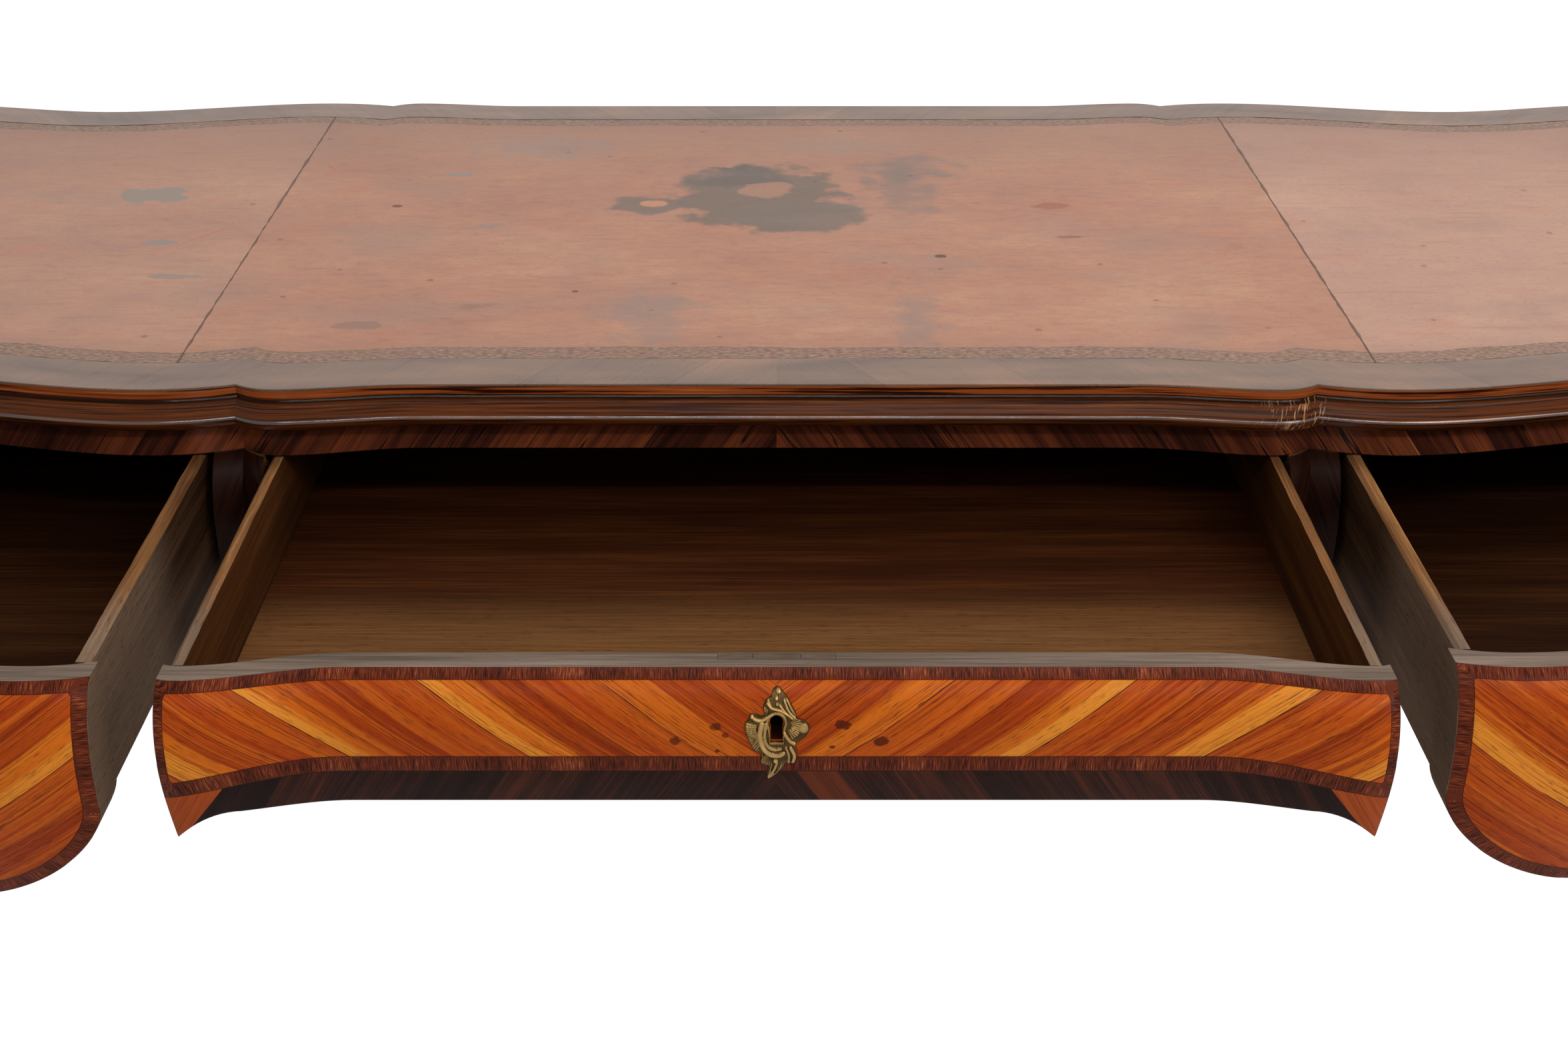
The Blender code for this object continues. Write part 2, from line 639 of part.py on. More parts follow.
def lock_frame(x):
    """Frame of a lock: origin on the top edge of the front's inner face, +Y into the drawer."""
    step = LOCK_WIDTH / 2
    slope = (curved_back(x - step) - curved_back(x + step)) / LOCK_WIDTH
    turn = Matrix.Rotation(math.atan(slope), 4, "Z")
    return Matrix.Translation((x, -curved_back(x), DRAWER_Z)) @ turn


def keyhole(count=10):
    """Outline of the keyhole in (x, z), about the centre of its round part."""
    start = math.asin(KEY_SLOT / KEY_RADIUS)
    points = []
    for i in range(count + 1):
        angle = -math.pi / 2 + start + (2 * math.pi - 2 * start) * i / count
        points.append((KEY_RADIUS * math.cos(angle), KEY_RADIUS * math.sin(angle)))
    points += [(-KEY_SLOT, -KEY_LENGTH), (KEY_SLOT, -KEY_LENGTH)]
    return points


def build_lock(label, x, front, rail, parent):
    """Lock case let into the front, its bolt, and the mortise in the rail above."""
    frame = lock_frame(x)
    half = LOCK_WIDTH / 2
    middle = -LOCK_THICK / 2
    over = 2 * LOCK_THICK
    pocket = block((-half - GAP, -LOCK_THICK - GAP, -LOCK_HEIGHT - GAP), (half + GAP, over, over))
    cut(front, f"pocket_{label}", pocket, frame)

    points = [(px, pz - KEY_DROP) for px, pz in keyhole()]
    reach = -FRONT_THICK - 2 * BOMBE
    key_way = loft([[(px, y, pz) for px, pz in points] for y in (middle, reach)])
    cut(front, f"key_way_{label}", key_way, frame)

    case = block((-half, -LOCK_THICK, -LOCK_HEIGHT), (half, 0, 0))
    bmesh.ops.transform(case, matrix=frame, verts=case.verts)
    case = place(f"lock_case_{label}", case, IRON, parent)
    wide = BOLT_WIDTH / 2
    thick = BOLT_THICK / 2
    slot = block(
        (-wide - GAP, middle - thick - GAP, -BOLT_HEIGHT - GAP), (wide + GAP, middle + thick + GAP, over)
    )
    cut(case, f"bolt_slot_{label}", slot, frame)

    bolt = block((-wide, middle - thick, -BOLT_HEIGHT), (wide, middle + thick, 0))
    bolt = place(f"lock_bolt_{label}", bolt, IRON, parent)
    bolt.matrix_local = frame

    play = MORTISE_PLAY
    mortise = block(
        (-wide - play, middle - thick - play, -over), (wide + play, middle + thick + play, BOLT_TRAVEL + play)
    )
    cut(rail, f"mortise_{label}", mortise, frame)


def build_escutcheon(label, x, belly, parent):
    """Brass plate bent to the belly of the front, pierced by the keyhole."""
    outer = [Vector((px / 1000, pz / 1000)) for px, pz in ESCUTCHEON_MM]
    hole = [Vector(point) * PLATE_HOLE for point in keyhole()]
    inner = [hole_edge(hole, point) for point in outer]
    bm = bmesh.new()
    faces = {}
    for lift in (PLATE_LIFT, PLATE_LIFT + PLATE):
        for row in range(PLATE_ROWS):
            loop = []
            for near, far in zip(inner, outer):
                px, pz = near.lerp(far, row / (PLATE_ROWS - 1))
                drop = KEY_DROP - pz
                y = -(FACE_Y + face_sway(x + px) + bombe(drop, belly) + lift)
                loop.append(bm.verts.new((x + px, y, DRAWER_Z - drop)))
            faces[lift, row] = loop
    order = [faces[PLATE_LIFT, row] for row in range(PLATE_ROWS)]
    order += [faces[PLATE_LIFT + PLATE, row] for row in reversed(range(PLATE_ROWS))]
    for near, far in zip(order, order[1:] + order[:1]):
        for i in range(len(near)):
            j = (i + 1) % len(near)
            bm.faces.new((near[i], near[j], far[j], far[i]))
    place(f"escutcheon_{label}", bm, BRASS, parent)


def hole_edge(hole, towards):
    """Where a ray from the keyhole's centre towards a point leaves the keyhole."""
    best = 0.0
    for near, far in zip(hole, hole[1:] + hole[:1]):
        side = far - near
        across = towards.x * side.y - towards.y * side.x
        if abs(across) < 1e-12:
            continue
        along = (near.x * side.y - near.y * side.x) / across
        share = (near.x * towards.y - near.y * towards.x) / across
        if along > 0 and -1e-6 <= share <= 1 + 1e-6:
            best = max(best, along)
    return towards * best


def build_drawers(parent, rail):
    """Three drawers, each on an empty that draws it out along -Y."""
    drawers = (
        ("centre", -CENTRE_END, CENTRE_END, 0.0, CENTRE_INSET, PULL_CENTRE),
        ("right", SIDE_START, SIDE_END, SIDE_LOCK_X, SIDE_INSET, PULL_RIGHT),
        ("left", -SIDE_END, -SIDE_START, -SIDE_LOCK_X, SIDE_INSET, PULL_LEFT),
    )
    slides = []
    for label, start, end, lock_x, inset, pull in drawers:
        drop_at, belly, height = side_drop, SIDE_BELLY, SIDE_BOX
        if label == "centre":
            drop_at, belly, height = centre_drop, CENTRE_BELLY, CENTRE_BOX
        slide = empty(f"{label}_slide", (0, 0, 0), parent)
        rings = front_rings(stations(start, end), drop_at, belly, FRONT_ROWS, curved_back)
        front = place(f"{label}_drawer_front", loft(rings), TULIPWOOD, slide)
        drawer_box(label, start, end, height, inset, slide)
        build_lock(label, lock_x, front, rail, slide)
        build_escutcheon(label, lock_x, belly, slide)
        slides.append((slide, pull))
    for slide, pull in slides:
        slide.location.y = -pull


def centre_on_floor(root):
    """Set the table with the middle of its outline over the origin."""
    bpy.context.view_layer.update()
    reach = []
    for piece in bpy.data.objects:
        if piece.type == "MESH" and not piece.hide_render:
            reach += [(piece.matrix_world @ vert.co).y for vert in piece.data.vertices]
    root.location.y = -(min(reach) + max(reach)) / 2


def main():
    """Build the table."""
    clear_scene()
    root = empty("bureau_plat", (0, 0, 0), None)
    build_top(root)
    rail = build_frame(root)
    build_legs(root)
    build_drawers(root, rail)
    centre_on_floor(root)


main()
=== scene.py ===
"""Looks of a serpentine bureau plat with its three drawers drawn out.

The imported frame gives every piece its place. Each sub-assembly is a class that builds finer meshes round
that frame and dresses them: the top, the frieze, the legs, and the drawers with their locks.
"""

import json
import logging
import math
from dataclasses import dataclass
from enum import Enum
from typing import Callable, Iterable, Sequence

import bmesh
import bpy
import numpy as np
from mathutils import Matrix, Vector, noise


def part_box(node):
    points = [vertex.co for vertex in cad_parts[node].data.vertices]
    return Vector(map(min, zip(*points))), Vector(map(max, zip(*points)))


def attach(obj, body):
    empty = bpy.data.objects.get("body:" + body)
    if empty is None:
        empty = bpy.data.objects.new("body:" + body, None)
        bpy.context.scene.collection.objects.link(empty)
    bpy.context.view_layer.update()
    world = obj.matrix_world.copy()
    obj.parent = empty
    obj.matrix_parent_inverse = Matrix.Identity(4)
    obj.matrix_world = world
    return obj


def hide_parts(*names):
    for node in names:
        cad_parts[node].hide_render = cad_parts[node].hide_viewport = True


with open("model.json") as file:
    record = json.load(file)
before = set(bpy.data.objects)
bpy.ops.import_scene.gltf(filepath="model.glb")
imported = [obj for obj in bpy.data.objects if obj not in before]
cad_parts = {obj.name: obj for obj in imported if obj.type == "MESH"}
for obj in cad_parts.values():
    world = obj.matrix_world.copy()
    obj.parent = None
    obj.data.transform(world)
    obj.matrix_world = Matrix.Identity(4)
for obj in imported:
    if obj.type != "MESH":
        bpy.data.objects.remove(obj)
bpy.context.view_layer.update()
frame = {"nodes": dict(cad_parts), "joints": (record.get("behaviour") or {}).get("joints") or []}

log = logging.getLogger("bureau_plat")
GAP = 0.0003
BAND = 0.010                  # width of a crossband in the veneers' maps
SHARP = math.radians(35)

Spot = tuple[float, float]
Place = Callable[[float, float], Sequence[float]]
Socket = bpy.types.NodeSocket
Value = Socket | float | str | Sequence[float]
Limit = tuple[Socket, float, float]


class Side(Enum):
    """The two ends of the table."""

    LEFT = -1
    RIGHT = 1


class Edge(Enum):
    """The four edges of the top, with the turn that brings the front or right one there."""

    FRONT = (True, 0.0)
    BACK = (True, math.pi)
    RIGHT = (False, 0.0)
    LEFT = (False, math.pi)


# Shapes

def ease(share: float) -> float:
    """Smooth step from 0 to 1."""
    share = min(max(share, 0.0), 1.0)
    return share * share * (3 - 2 * share)


def span(start: float, end: float, step: float, through: Iterable[float] = ()) -> list[float]:
    """Even stations between two places.

    Args:
        start: First station.
        end: Last station.
        step: Longest stretch between two stations.
        through: Places that get a station of their own.

    Returns:
        The stations in order.
    """
    marks = sorted({start, end, *(place for place in through if start < place < end)})
    stations = [start]
    for low, high in zip(marks, marks[1:]):
        count = max(1, math.ceil((high - low) / step))
        stations += [low + (high - low) * i / count for i in range(1, count + 1)]
    return stations


def grid(
    columns: Sequence[float], rows: Sequence[float], place: Place,
    region: Callable[[float, float], int] | None = None,
) -> tuple[bmesh.types.BMesh, dict[bmesh.types.BMVert, Spot]]:
    """A grid with its lines at given stations, moved onto a surface.

    Args:
        columns: Stations across.
        rows: Stations down.
        place: Gives the point at a column and a row.
        region: Gives the material of the face that starts at a column and a row.

    Returns:
        The mesh, and the column and row of each of its vertices.
    """
    bm = bmesh.new()
    across = len(columns) - 1
    down = len(rows) - 1
    bmesh.ops.create_grid(bm, x_segments=across, y_segments=down, size=0.5)
    spots = {}
    for vert in bm.verts:
        column = columns[round((vert.co.x + 0.5) * across)]
        spots[vert] = (column, rows[round((vert.co.y + 0.5) * down)])
    if region:
        for face in bm.faces:
            corners = [spots[vert] for vert in face.verts]
            face.material_index = region(min(c for c, _ in corners), min(r for _, r in corners))
    for vert, spot in spots.items():
        vert.co = place(*spot)
    return bm, spots


def paint(bm: bmesh.types.BMesh, name: str, values: dict[bmesh.types.BMVert, Sequence[float]]) -> None:
    """Write a UV map in metres from a value at each vertex."""
    layer = bm.loops.layers.uv.new(name)
    for face in bm.faces:
        for loop in face.loops:
            loop[layer].uv = values[loop.vert]


def close(bm: bmesh.types.BMesh) -> bmesh.types.BMesh:
    """Join a grid that was rolled into a tube, and cap its ends."""
    bmesh.ops.remove_doubles(bm, verts=bm.verts, dist=1e-6)
    bmesh.ops.holes_fill(bm, edges=[edge for edge in bm.edges if edge.is_boundary])
    return bm


def thicken(
    bm: bmesh.types.BMesh, inner: Callable[[Vector], Sequence[float]], rim: int, back: int,
) -> None:
    """Give a shaped sheet its body.

    Args:
        bm: The outer sheet.
        inner: Gives the inner face's point behind a point of the sheet.
        rim: Material of the faces round the edge.
        back: Material of the inner face.
    """
    outer = set(bm.verts)
    made = bmesh.ops.extrude_face_region(bm, geom=list(bm.faces))["geom"]
    for item in made:
        if isinstance(item, bmesh.types.BMVert):
            item.co = inner(item.co)
    for face in bm.faces:
        fresh = sum(vert not in outer for vert in face.verts)
        if fresh:
            face.material_index = back if fresh == len(face.verts) else rim


def soften(bm: bmesh.types.BMesh, edges: list[bmesh.types.BMEdge], width: float, segments: int = 2) -> None:
    """Round worn arrises."""
    bmesh.ops.bevel(
        bm, geom=edges, offset=width, segments=segments, affect="EDGES", profile=0.5, material=-1
    )


def plank(low: Sequence[float], high: Sequence[float]) -> bmesh.types.BMesh:
    """A sharp-edged board between two corners."""
    bm = bmesh.new()
    bmesh.ops.create_cube(bm, size=1.0)
    low, high = Vector(low), Vector(high)
    bmesh.ops.scale(bm, verts=bm.verts, vec=high - low)
    bmesh.ops.translate(bm, verts=bm.verts, vec=(low + high) / 2)
    return bm


def nearest(points: np.ndarray, outline: np.ndarray) -> tuple[np.ndarray, np.ndarray]:
    """Where points lie along an outline.

    Args:
        points: Points in a plane, one a row.
        outline: Corners of the outline, in order.

    Returns:
        The length along the outline to the nearest place on it, and the distance to that place.
    """
    start = outline[:-1]
    run = outline[1:] - start
    length = np.linalg.norm(run, axis=1)
    past = np.concatenate(([0.0], np.cumsum(length)[:-1]))
    offset = points[:, None, :] - start[None]
    share = np.clip((offset * run).sum(2) / np.maximum(length ** 2, 1e-12), 0.0, 1.0)
    gap = np.linalg.norm(offset - share[..., None] * run, axis=2)
    best = gap.argmin(1)
    row = np.arange(len(points))
    return past[best] + share[row, best] * length[best], gap[row, best]


def smooth_path(points: Sequence[Sequence[float]], steps: int, closed: bool = False) -> list[Vector]:
    """Catmull-Rom curve through points.

    Args:
        points: Points of any size.
        steps: Pieces between two points.
        closed: Whether the curve comes back to its start.

    Returns:
        The points of the curve.
    """
    count = len(points)
    path = []
    for i in range(count if closed else count - 1):
        picks = [k % count if closed else min(max(k, 0), count - 1) for k in range(i - 1, i + 3)]
        before, start, end, after = (Vector(points[k]) for k in picks)
        for step in range(steps):
            t = step / steps
            bend = 2 * before - 5 * start + 4 * end - after
            twist = 3 * (start - end) + after - before
            path.append((2 * start + (end - before) * t + bend * t * t + twist * t ** 3) / 2)
    path.append(Vector(points[0 if closed else -1]))
    return path


def carve(target: bpy.types.Object, tools: Iterable[bmesh.types.BMesh]) -> None:
    """Cut shapes out of a piece and keep the result as its mesh."""
    for bm in tools:
        bmesh.ops.recalc_face_normals(bm, faces=bm.faces)
        mesh = bpy.data.meshes.new("cutter")
        bm.to_mesh(mesh)
        bm.free()
        cutter = bpy.data.objects.new("cutter", mesh)
        bpy.context.scene.collection.objects.link(cutter)
        cut = target.modifiers.new("cut", "BOOLEAN")
        cut.operation = "DIFFERENCE"
        cut.solver = "EXACT"
        cut.object = cutter
        ready = target.evaluated_get(bpy.context.evaluated_depsgraph_get())
        made = bpy.data.meshes.new_from_object(ready)
        target.modifiers.clear()
        target.data = made
        bpy.data.objects.remove(cutter)
    target.data.shade_smooth()
    target.data.set_sharp_from_angle(angle=SHARP)


def piece(
    name: str, bm: bmesh.types.BMesh, looks: Sequence[bpy.types.Material],
    body: str, node: str,
) -> bpy.types.Object:
    """Close a bmesh into a piece that stands for a node of the frame.

    Args:
        name: The piece's name.
        bm: Its mesh, in the frame's place.
        looks: Its materials, in the order of the faces' indices.
        body: The body that it moves with.
        node: The node that it replaces.

    Returns:
        The new object.
    """
    bmesh.ops.recalc_face_normals(bm, faces=bm.faces)
    mesh = bpy.data.meshes.new(name)
    bm.to_mesh(mesh)
    bm.free()
    for look in looks:
        mesh.materials.append(look)
    mesh.shade_smooth()
    mesh.set_sharp_from_angle(angle=SHARP)
    made = bpy.data.objects.new(name, mesh)
    bpy.context.scene.collection.objects.link(made)
    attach(made, body)
    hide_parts(node)
    log.info("%s: %d faces on %s", name, len(mesh.polygons), body)
    return made


# Finishes

def linear(code: str) -> tuple[float, float, float, float]:
    """Turn an sRGB hex colour into linear values."""
    values = [int(code[i:i + 2], 16) / 255 for i in (1, 3, 5)]
    red, green, blue = (v / 12.92 if v <= 0.04045 else ((v + 0.055) / 1.055) ** 2.4 for v in values)
    return red, green, blue, 1.0


@dataclass(frozen=True)
class Stain:
    """A stain or a knot: its place, its reach along x and y, its strength and how torn its rim is."""

    x: float
    y: float
    wide: float
    deep: float
    strength: float
    colour: str
    torn: float = 0.9

    @property
    def core(self) -> float:
        """Part of its reach that is solid: a faint stain fades all the way in."""
        return 0.80 if self.strength > 0.55 else 0.20


class Tree:
    """The node tree of a finish, or of the world, while it is laid out."""

    CHOICES = {               # the setting that says what a node of each kind does
        "Math": "operation", "VectorMath": "operation", "Mix": "data_type", "MapRange": "interpolation_type",
        "TexWhiteNoise": "noise_dimensions", "UVMap": "uv_map",
    }

    def __init__(self, name: str, world: bpy.types.World | None = None) -> None:
        """Start from a plain Principled material, or from a world."""
        self.host = world or bpy.data.materials.new(name)
        self.host.use_nodes = True
        self.nodes = self.host.node_tree.nodes
        self.links = self.host.node_tree.links
        self.shader = self.nodes["Background" if world else "Principled BSDF"]

    def add(
        self, kind: str, *inputs: Value, out: int | str = 0, stops: Sequence[tuple[float, str]] = (),
        **named: Value,
    ) -> Socket:
        """Add one node.

        Args:
            kind: The node's type after "ShaderNode", and its choice after a space.
            *inputs: Values, hex colours or sockets for the inputs that the choice leaves in use.
            out: The output to hand back.
            stops: Places and hex colours of a colour ramp.
            **named: Inputs given by name.

        Returns:
            The chosen output.
        """
        kind, _, choice = kind.partition(" ")
        node = self.nodes.new("ShaderNode" + kind)
        if choice:
            setattr(node, self.CHOICES[kind], choice)
        used = [socket for socket in node.inputs if socket.enabled]
        for socket, value in [*zip(used, inputs), *((node.inputs[name], named[name]) for name in named)]:
            if isinstance(value, Socket):
                self.links.new(value, socket)
            else:
                socket.default_value = linear(value) if isinstance(value, str) else value
        if stops:
            elements = node.color_ramp.elements
            while len(elements) < len(stops):
                elements.new(1.0)
            for element, (spot, colour) in zip(elements, stops):
                element.position = spot
                element.color = linear(colour)
        return node.outputs[out] if isinstance(out, str) else [o for o in node.outputs if o.enabled][out]

    def finish(
        self, colour: Socket, roughness: Socket, height: Socket, relief: float, **fixed: float,
    ) -> bpy.types.Material:
        """Connect the pattern to the shader.

        Args:
            colour: Base colour.
            roughness: Roughness.
            height: Relief of the surface, from 0 to 1.
            relief: Depth of that relief in millimetres.
            **fixed: Other inputs of the shader, with underscores for spaces.

        Returns:
            The finished material.
        """
        bump = self.add("Bump", Strength=1.0, Distance=relief / 1000, Height=height)
        for name, socket in (("Base Color", colour), ("Roughness", roughness), ("Normal", bump)):
            self.links.new(socket, self.shader.inputs[name])
        for name, value in fixed.items():
            self.shader.inputs[name.replace("_", " ")].default_value = value
        return self.host

    def axes(self, source: str) -> list[Socket]:
        """Split Object coordinates, or a UV map in metres, into x, y and z."""
        vector = self.add("TexCoord", out="Object") if source == "object" else self.add("UVMap " + source)
        return list(self.add("SeparateXYZ", vector).node.outputs)

    def streak(
        self, along: Socket, across: Socket, length: float, width: float, seed: Socket | float = 0.0,
        detail: float = 2.0,
    ) -> Socket:
        """Noise drawn out along the grain; length and width are in millimetres."""
        spot = self.add("CombineXYZ", along, across, seed)
        scaled = self.add("VectorMath MULTIPLY", spot, (1000 / length, 1000 / width, 1.0))
        return self.add("TexNoise", scaled, 1.0, detail)

    def sum(self, *terms: tuple[Socket, float], plus: float = 0.0) -> Socket:
        """Weighted sum of values, plus a number."""
        total = plus
        for value, weight in reversed(terms):
            total = self.add("Math MULTIPLY_ADD", value, weight, total)
        return total

    def away(self, value: Socket, place: float = 0.0) -> Socket:
        """Distance of a value from a place."""
        return self.add("Math ABSOLUTE", self.add("Math SUBTRACT", value, place))

    def where(self, *limits: Limit, share: float = 1.0) -> Socket:
        """How far some values have all gone from their first limit to their second.

        Args:
            *limits: Each value with its two limits, between which it may rise or fall.
            share: What the result comes to where all of them have arrived.

        Returns:
            A share from 0 up to that.
        """
        total = share
        for value, start, end in limits:
            part = self.add("MapRange SMOOTHSTEP", value, start, end)
            total = self.add("Math MULTIPLY", part, total)
        return total

    def coat(self, colour: Socket, over: Socket | str, share: float, *limits: Limit) -> Socket:
        """Lay a second colour over a first, up to a share, where values pass their limits."""
        return self.add("Mix RGBA", self.where(*limits, share=share), colour, over)

    def mark(self, colour: Socket, x: Socket, y: Socket, torn: Socket, stain: Stain) -> Socket:
        """Lay a stain over a colour, its rim torn by some noise about 0."""
        across = self.sum((x, 1 / stain.wide), plus=-stain.x / stain.wide)
        down = self.sum((y, 1 / stain.deep), plus=-stain.y / stain.deep)
        reach = self.add("VectorMath LENGTH", self.add("CombineXYZ", across, down))
        reach = self.sum((torn, 2 * stain.torn), (reach, 1.0))
        return self.coat(colour, stain.colour, stain.strength, (reach, 1.08, stain.core))

    def diagonal(self, along: Socket, drop: Socket, angle: float, falling: bool) -> tuple[Socket, Socket]:
        """Coordinates of veneer laid aslant and matched at along = 0.

        Args:
            along: Distance from the match line, with its sign.
            drop: Distance down the face.
            angle: Slope of the grain in degrees.
            falling: Whether the grain falls towards the match line.

        Returns:
            Distance across the grain and along it.
        """
        sine = math.sin(math.radians(angle))
        cosine = math.cos(math.radians(angle)) * (1 if falling else -1)
        out = self.away(along)
        return self.sum((out, sine), (drop, cosine)), self.sum((out, -cosine), (drop, sine))

    def leaves(
        self, across: Socket, along: Socket, width: float, offset: float, seed: float,
    ) -> tuple[Socket, Socket, Socket]:
        """Cut veneer into leaves.

        Args:
            across: Distance across the grain.
            along: Distance from the match line, with its sign.
            width: Width of a leaf in millimetres.
            offset: Part of a leaf by which the first one is shifted.
            seed: Sets which leaves turn out dark.

        Returns:
            Place within the leaf from 0 to 1, a seed of its own, and a random tone.
        """
        count = self.sum((across, 1000 / width), plus=offset)
        index = self.add("Math FLOOR", count)
        own = self.sum((self.add("Math SIGN", along), 11.3), (index, 3.71), plus=seed)
        return self.add("Math FRACT", count), own, self.add("TexWhiteNoise 1D", own)

    def seam(
        self, colour: Socket, over: str, share: Socket, width: float, broken: Socket, depth: float = 1.0,
    ) -> Socket:
        """Dark joint at both sides of a leaf, open in some places and shut in others.

        Args:
            colour: The veneer's colour.
            over: The joint's colour.
            share: Place within the leaf from 0 to 1.
            width: Part of the leaf that the joint takes at each side.
            broken: Noise that opens and shuts it.
            depth: How dark it is where it is open.

        Returns:
            The veneer with its joints.
        """
        edge = self.away(share, 0.5)
        return self.coat(colour, over, depth, (edge, 0.5 - width, 0.5 - width / 3), (broken, 0.38, 0.55))


@dataclass(frozen=True)
class TulipwoodMarquetry:
    """Tulipwood leaves laid to a V within kingwood crossbands, French polished.

    The V of orange, red and yellow stripes is what the eye meets first; the dark bands frame it.
    """

    name: str
    seed: float
    leaf: float = 66.6        # width of a leaf in millimetres
    offset: float = -0.0995
    angle: float = 36.4
    tip: float = 0.290        # where the dark apron turns to red at its ends
    tip_slope: float = -0.69
    knots: tuple[Stain, ...] = ()

    def make(self) -> bpy.types.Material:
        """Lay out panel, crossband and apron, and polish them."""
        t = Tree(self.name)
        fx, fy, _ = t.axes("face")
        along, inset, _ = t.axes("rim")
        colour, fine = self.panel(t, fx, fy)
        colour = t.coat(self.crossband(t, along, inset), colour, 1.0, (inset, BAND - 0.0001, BAND + 0.0001))
        under = t.where((inset, 0.0, -0.0002))
        colour = t.add("Mix RGBA", under, colour, self.apron(t, fx, fy))
        for line in (BAND, 0.0):
            colour = t.coat(colour, "#1C0D08", 0.75, (t.away(inset, line), 0.0005, 0.0001))
        ripple = t.streak(fx, fy, 26, 14, self.seed)
        rough = t.sum((under, 0.18), (ripple, 0.16), plus=0.24)
        return t.finish(colour, rough, t.sum((fine, 0.25), (ripple, 1.0)), 0.25, Specular_IOR_Level=0.05)

    def panel(self, t: Tree, fx: Socket, fy: Socket) -> tuple[Socket, Socket]:
        """Striped leaves that fall towards the keyhole: their colour and their fine grain."""
        across, grain = t.diagonal(fx, fy, self.angle, True)
        share, own, tone = t.leaves(across, fx, self.leaf, self.offset, self.seed)
        wander = t.streak(grain, across, 700, 7, own, 3.0)
        fine = t.streak(grain, across, 150, 1.0, own, 3.0)
        pores = t.streak(grain, across, 12, 0.40, own, 1.0)
        place = t.sum((wander, 0.5), (share, 1.0), plus=-0.25)
        colour = t.add("ValToRGB", place, stops=(
            (0.0, "#B04C16"), (0.14, "#C05A16"), (0.27, "#A0380F"), (0.38, "#C25C18"), (0.48, "#842A0B"),
            (0.58, "#AE4811"), (0.66, "#8E300D"), (0.75, "#C86318"), (0.85, "#CC6A1A"), (0.95, "#C6621A"),
        ))
        sap = t.where((place, 0.80, 0.87), (across, 0.072, 0.074))
        sap = t.add("Math MULTIPLY", sap, t.sum((tone, 0.4), plus=0.5))
        colour = t.add("Mix RGBA", sap, colour, "#EA9A36")
        colour = t.add("Mix RGBA", t.sum((tone, 0.30)), colour, "#A54010")
        colour = t.coat(colour, "#601C08", 0.55, (fine, 0.52, 0.68))
        colour = t.coat(colour, "#DA8030", 0.28, (fine, 0.46, 0.28))
        colour = t.coat(colour, "#42180A", 0.75, (pores, 0.60, 0.68))
        colour = t.seam(colour, "#33160A", share, 0.008, t.streak(grain, across, 30, 400, own))
        ragged = t.sum((t.streak(fx, fy, 5, 3, self.seed, 3.0), 1.0), plus=-0.5)
        for knot in self.knots:
            colour = t.mark(colour, fx, fy, ragged, knot)
        return colour, fine

    def crossband(self, t: Tree, along: Socket, inset: Socket) -> Socket:
        """Short dark grain square to the edge, pieced every few centimetres."""
        fine = t.streak(inset, along, 9, 0.75, self.seed, 3.0)
        patch = t.streak(inset, along, 400, 24, self.seed + 3.0, 1.0)
        return t.add("ValToRGB", t.sum((patch, 0.45), (fine, 1.05), plus=-0.25), stops=(
            (0.28, "#220C07"), (0.42, "#461B0F"), (0.54, "#622916"), (0.65, "#7C371E"), (0.78, "#A0603E"),
        ))

    def apron(self, t: Tree, fx: Socket, fy: Socket) -> Socket:
        """Dark kingwood below the lower crossband, rising to the middle, red at the tips."""
        across, grain = t.diagonal(fx, fy, 62.0, False)
        share, own, tone = t.leaves(across, fx, 41.0, 0.2, self.seed + 5.0)
        fine = t.streak(grain, across, 60, 1.1, own, 3.0)
        broad = t.streak(grain, across, 150, 9.0, own, 2.0)
        colour = t.add("ValToRGB", t.sum((tone, 0.22), (fine, 0.45), (broad, 0.55), plus=-0.12), stops=(
            (0.30, "#160C0B"), (0.48, "#24130F"), (0.62, "#3A1D15"), (0.76, "#542A1B"), (0.90, "#703822"),
        ))
        red = t.add("Mix RGBA", fine, "#74270E", "#BC5A26")
        reach = t.sum((fy, self.tip_slope), (t.away(fx), 1.0))
        colour = t.coat(colour, red, 1.0, (reach, self.tip, self.tip + 0.001))
        mended = t.add("Mix RGBA", broad, "#3E1A10", "#7A3A20")
        leaf = (across, -0.0235, -0.0230), (across, -0.0010, -0.0015)
        colour = t.coat(colour, mended, 0.8, *leaf, (fx, 0.0, 0.001))
        return t.seam(colour, "#0E0706", share, 0.006, fine)


